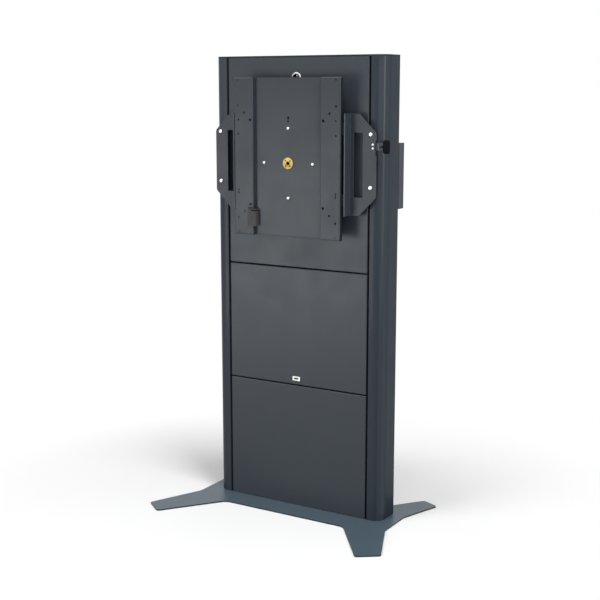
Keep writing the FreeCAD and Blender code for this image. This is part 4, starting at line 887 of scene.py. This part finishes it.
FLOOR_HALF = 9.0
FLOOR_DROP = 0.0003
FLOOR_SEEN = (0.8, 0.8, 0.8)
FLOOR_BOUNCE = (0.5, 0.5, 0.5)
FLOOR_LIFT = 0.16
LIFT_FROM = 0.1
LIFT_FULL = 0.9
WHITE_FROM = 0.6
WHITE_FULL = 1.35


def add_seen_rays(tree):
    """1 for rays from the camera and from glossy or clear surfaces, else 0."""
    rays = tree.nodes.new("ShaderNodeLightPath")
    total = rays.outputs["Is Camera Ray"]
    for name in ("Is Glossy Ray", "Is Transmission Ray"):
        total = add_math(tree, "MAXIMUM", total, rays.outputs[name])
    return total


def floor_finish():
    """The floor's material. Its lift and its far white show only where the floor is seen."""
    material = bpy.data.materials.new("pale_floor")
    material.use_nodes = True
    tree = material.node_tree
    tree.nodes.clear()
    seen = add_seen_rays(tree)
    place = tree.nodes.new("ShaderNodeTexCoord").outputs["Object"]

    diffuse = tree.nodes.new("ShaderNodeBsdfDiffuse")
    tree.links.new(add_mix(tree, seen, FLOOR_BOUNCE, FLOOR_SEEN), diffuse.inputs["Color"])
    lift = add_range(tree, add_part(tree, place, "Y"), LIFT_FROM, LIFT_FULL, 0.0, FLOOR_LIFT)
    glow = tree.nodes.new("ShaderNodeEmission")
    tree.links.new(add_math(tree, "MULTIPLY", lift, seen), glow.inputs["Strength"])
    lifted = tree.nodes.new("ShaderNodeAddShader")
    tree.links.new(diffuse.outputs["BSDF"], lifted.inputs[0])
    tree.links.new(glow.outputs["Emission"], lifted.inputs[1])

    far = add_range(tree, add_vector_math(tree, "LENGTH", place), WHITE_FROM, WHITE_FULL)
    white = tree.nodes.new("ShaderNodeEmission")
    fade = tree.nodes.new("ShaderNodeMixShader")
    tree.links.new(add_math(tree, "MULTIPLY", far, seen), fade.inputs["Fac"])
    tree.links.new(lifted.outputs["Shader"], fade.inputs[1])
    tree.links.new(white.outputs["Emission"], fade.inputs[2])
    out = tree.nodes.new("ShaderNodeOutputMaterial")
    tree.links.new(fade.outputs["Shader"], out.inputs["Surface"])
    return material


floor_data = bmesh.new()
floor_corners = [
    floor_data.verts.new((x * FLOOR_HALF, y * FLOOR_HALF, -FLOOR_DROP))
    for x, y in ((-1, -1), (1, -1), (1, 1), (-1, 1))
]
floor_data.faces.new(floor_corners)
floor_mesh = bpy.data.meshes.new("floor")
floor_data.to_mesh(floor_mesh)
floor_data.free()
floor_mesh.materials.append(floor_finish())
floor = bpy.data.objects.new("floor", floor_mesh)
bpy.context.scene.collection.objects.link(floor)

# World: white where it is seen or mirrored, dimmer as fill light

WORLD_FILL = 0.2
world = bpy.data.worlds.new("studio")
bpy.context.scene.world = world
world.use_nodes = True
background = world.node_tree.nodes["Background"]
background.inputs["Color"].default_value = (1, 1, 1, 1)
world_seen = add_seen_rays(world.node_tree)
world_strength = add_range(world.node_tree, world_seen, 0.0, 1.0, WORLD_FILL, 1.0)
world.node_tree.links.new(world_strength, background.inputs["Strength"])

# Lamps: two from above, two low in front, a strip at the right and one behind


def area_light(name, place, target, width, height, power):
    """A rectangular lamp at a place that shines at a target."""
    data = bpy.data.lights.new(name, "AREA")
    data.shape = "RECTANGLE"
    data.size = width
    data.size_y = height
    data.energy = power
    lamp = bpy.data.objects.new(name, data)
    bpy.context.scene.collection.objects.link(lamp)
    lamp.location = place
    lamp.rotation_euler = (Vector(target) - Vector(place)).to_track_quat("-Z", "Y").to_euler()
    return lamp


area_light("key_right", (3.3, -1.6, 5.6), (0, 0.1, 0.5), width=2.4, height=2.4, power=300)
area_light("key_left", (-1.8, -3.0, 5.6), (0, 0.1, 0.5), width=2.4, height=2.4, power=142)
area_light("front_box", (-1.6, -2.7, 0.70), (0, 0, 0.85), width=1.6, height=1.2, power=34)
area_light("front_fill", (1.9, -3.2, 1.5), (0, 0, 1.3), width=2.0, height=1.4, power=38)
area_light("side_strip", (2.9, -1.9, 1.1), (0.3, 0.05, 0.9), width=0.12, height=2.2, power=10)
rear_fill = area_light("rear_fill", (-0.9, 3.4, 1.5), (0, 0, 1.1), width=2.4, height=1.6, power=18)
# The lamp behind leaves no reflections
rear_fill.visible_glossy = False

# Camera at the photograph's viewing angle

# The place is in metres and the two turns are in degrees
CAMERA_PLACE = (2.1417, -3.51305, 1.5469)
CAMERA_DOWN = 10.419
CAMERA_ROUND = 31.103
CAMERA_SENSOR = 36
CAMERA_LENS = 69.108

lens = bpy.data.cameras.new("camera")
lens.sensor_width = CAMERA_SENSOR
lens.lens = CAMERA_LENS
camera = bpy.data.objects.new("camera", lens)
bpy.context.scene.collection.objects.link(camera)
camera.location = CAMERA_PLACE
camera.rotation_euler = (radians(90 - CAMERA_DOWN), 0, radians(CAMERA_ROUND))
bpy.context.scene.camera = camera
bpy.context.scene.view_settings.view_transform = "Standard"
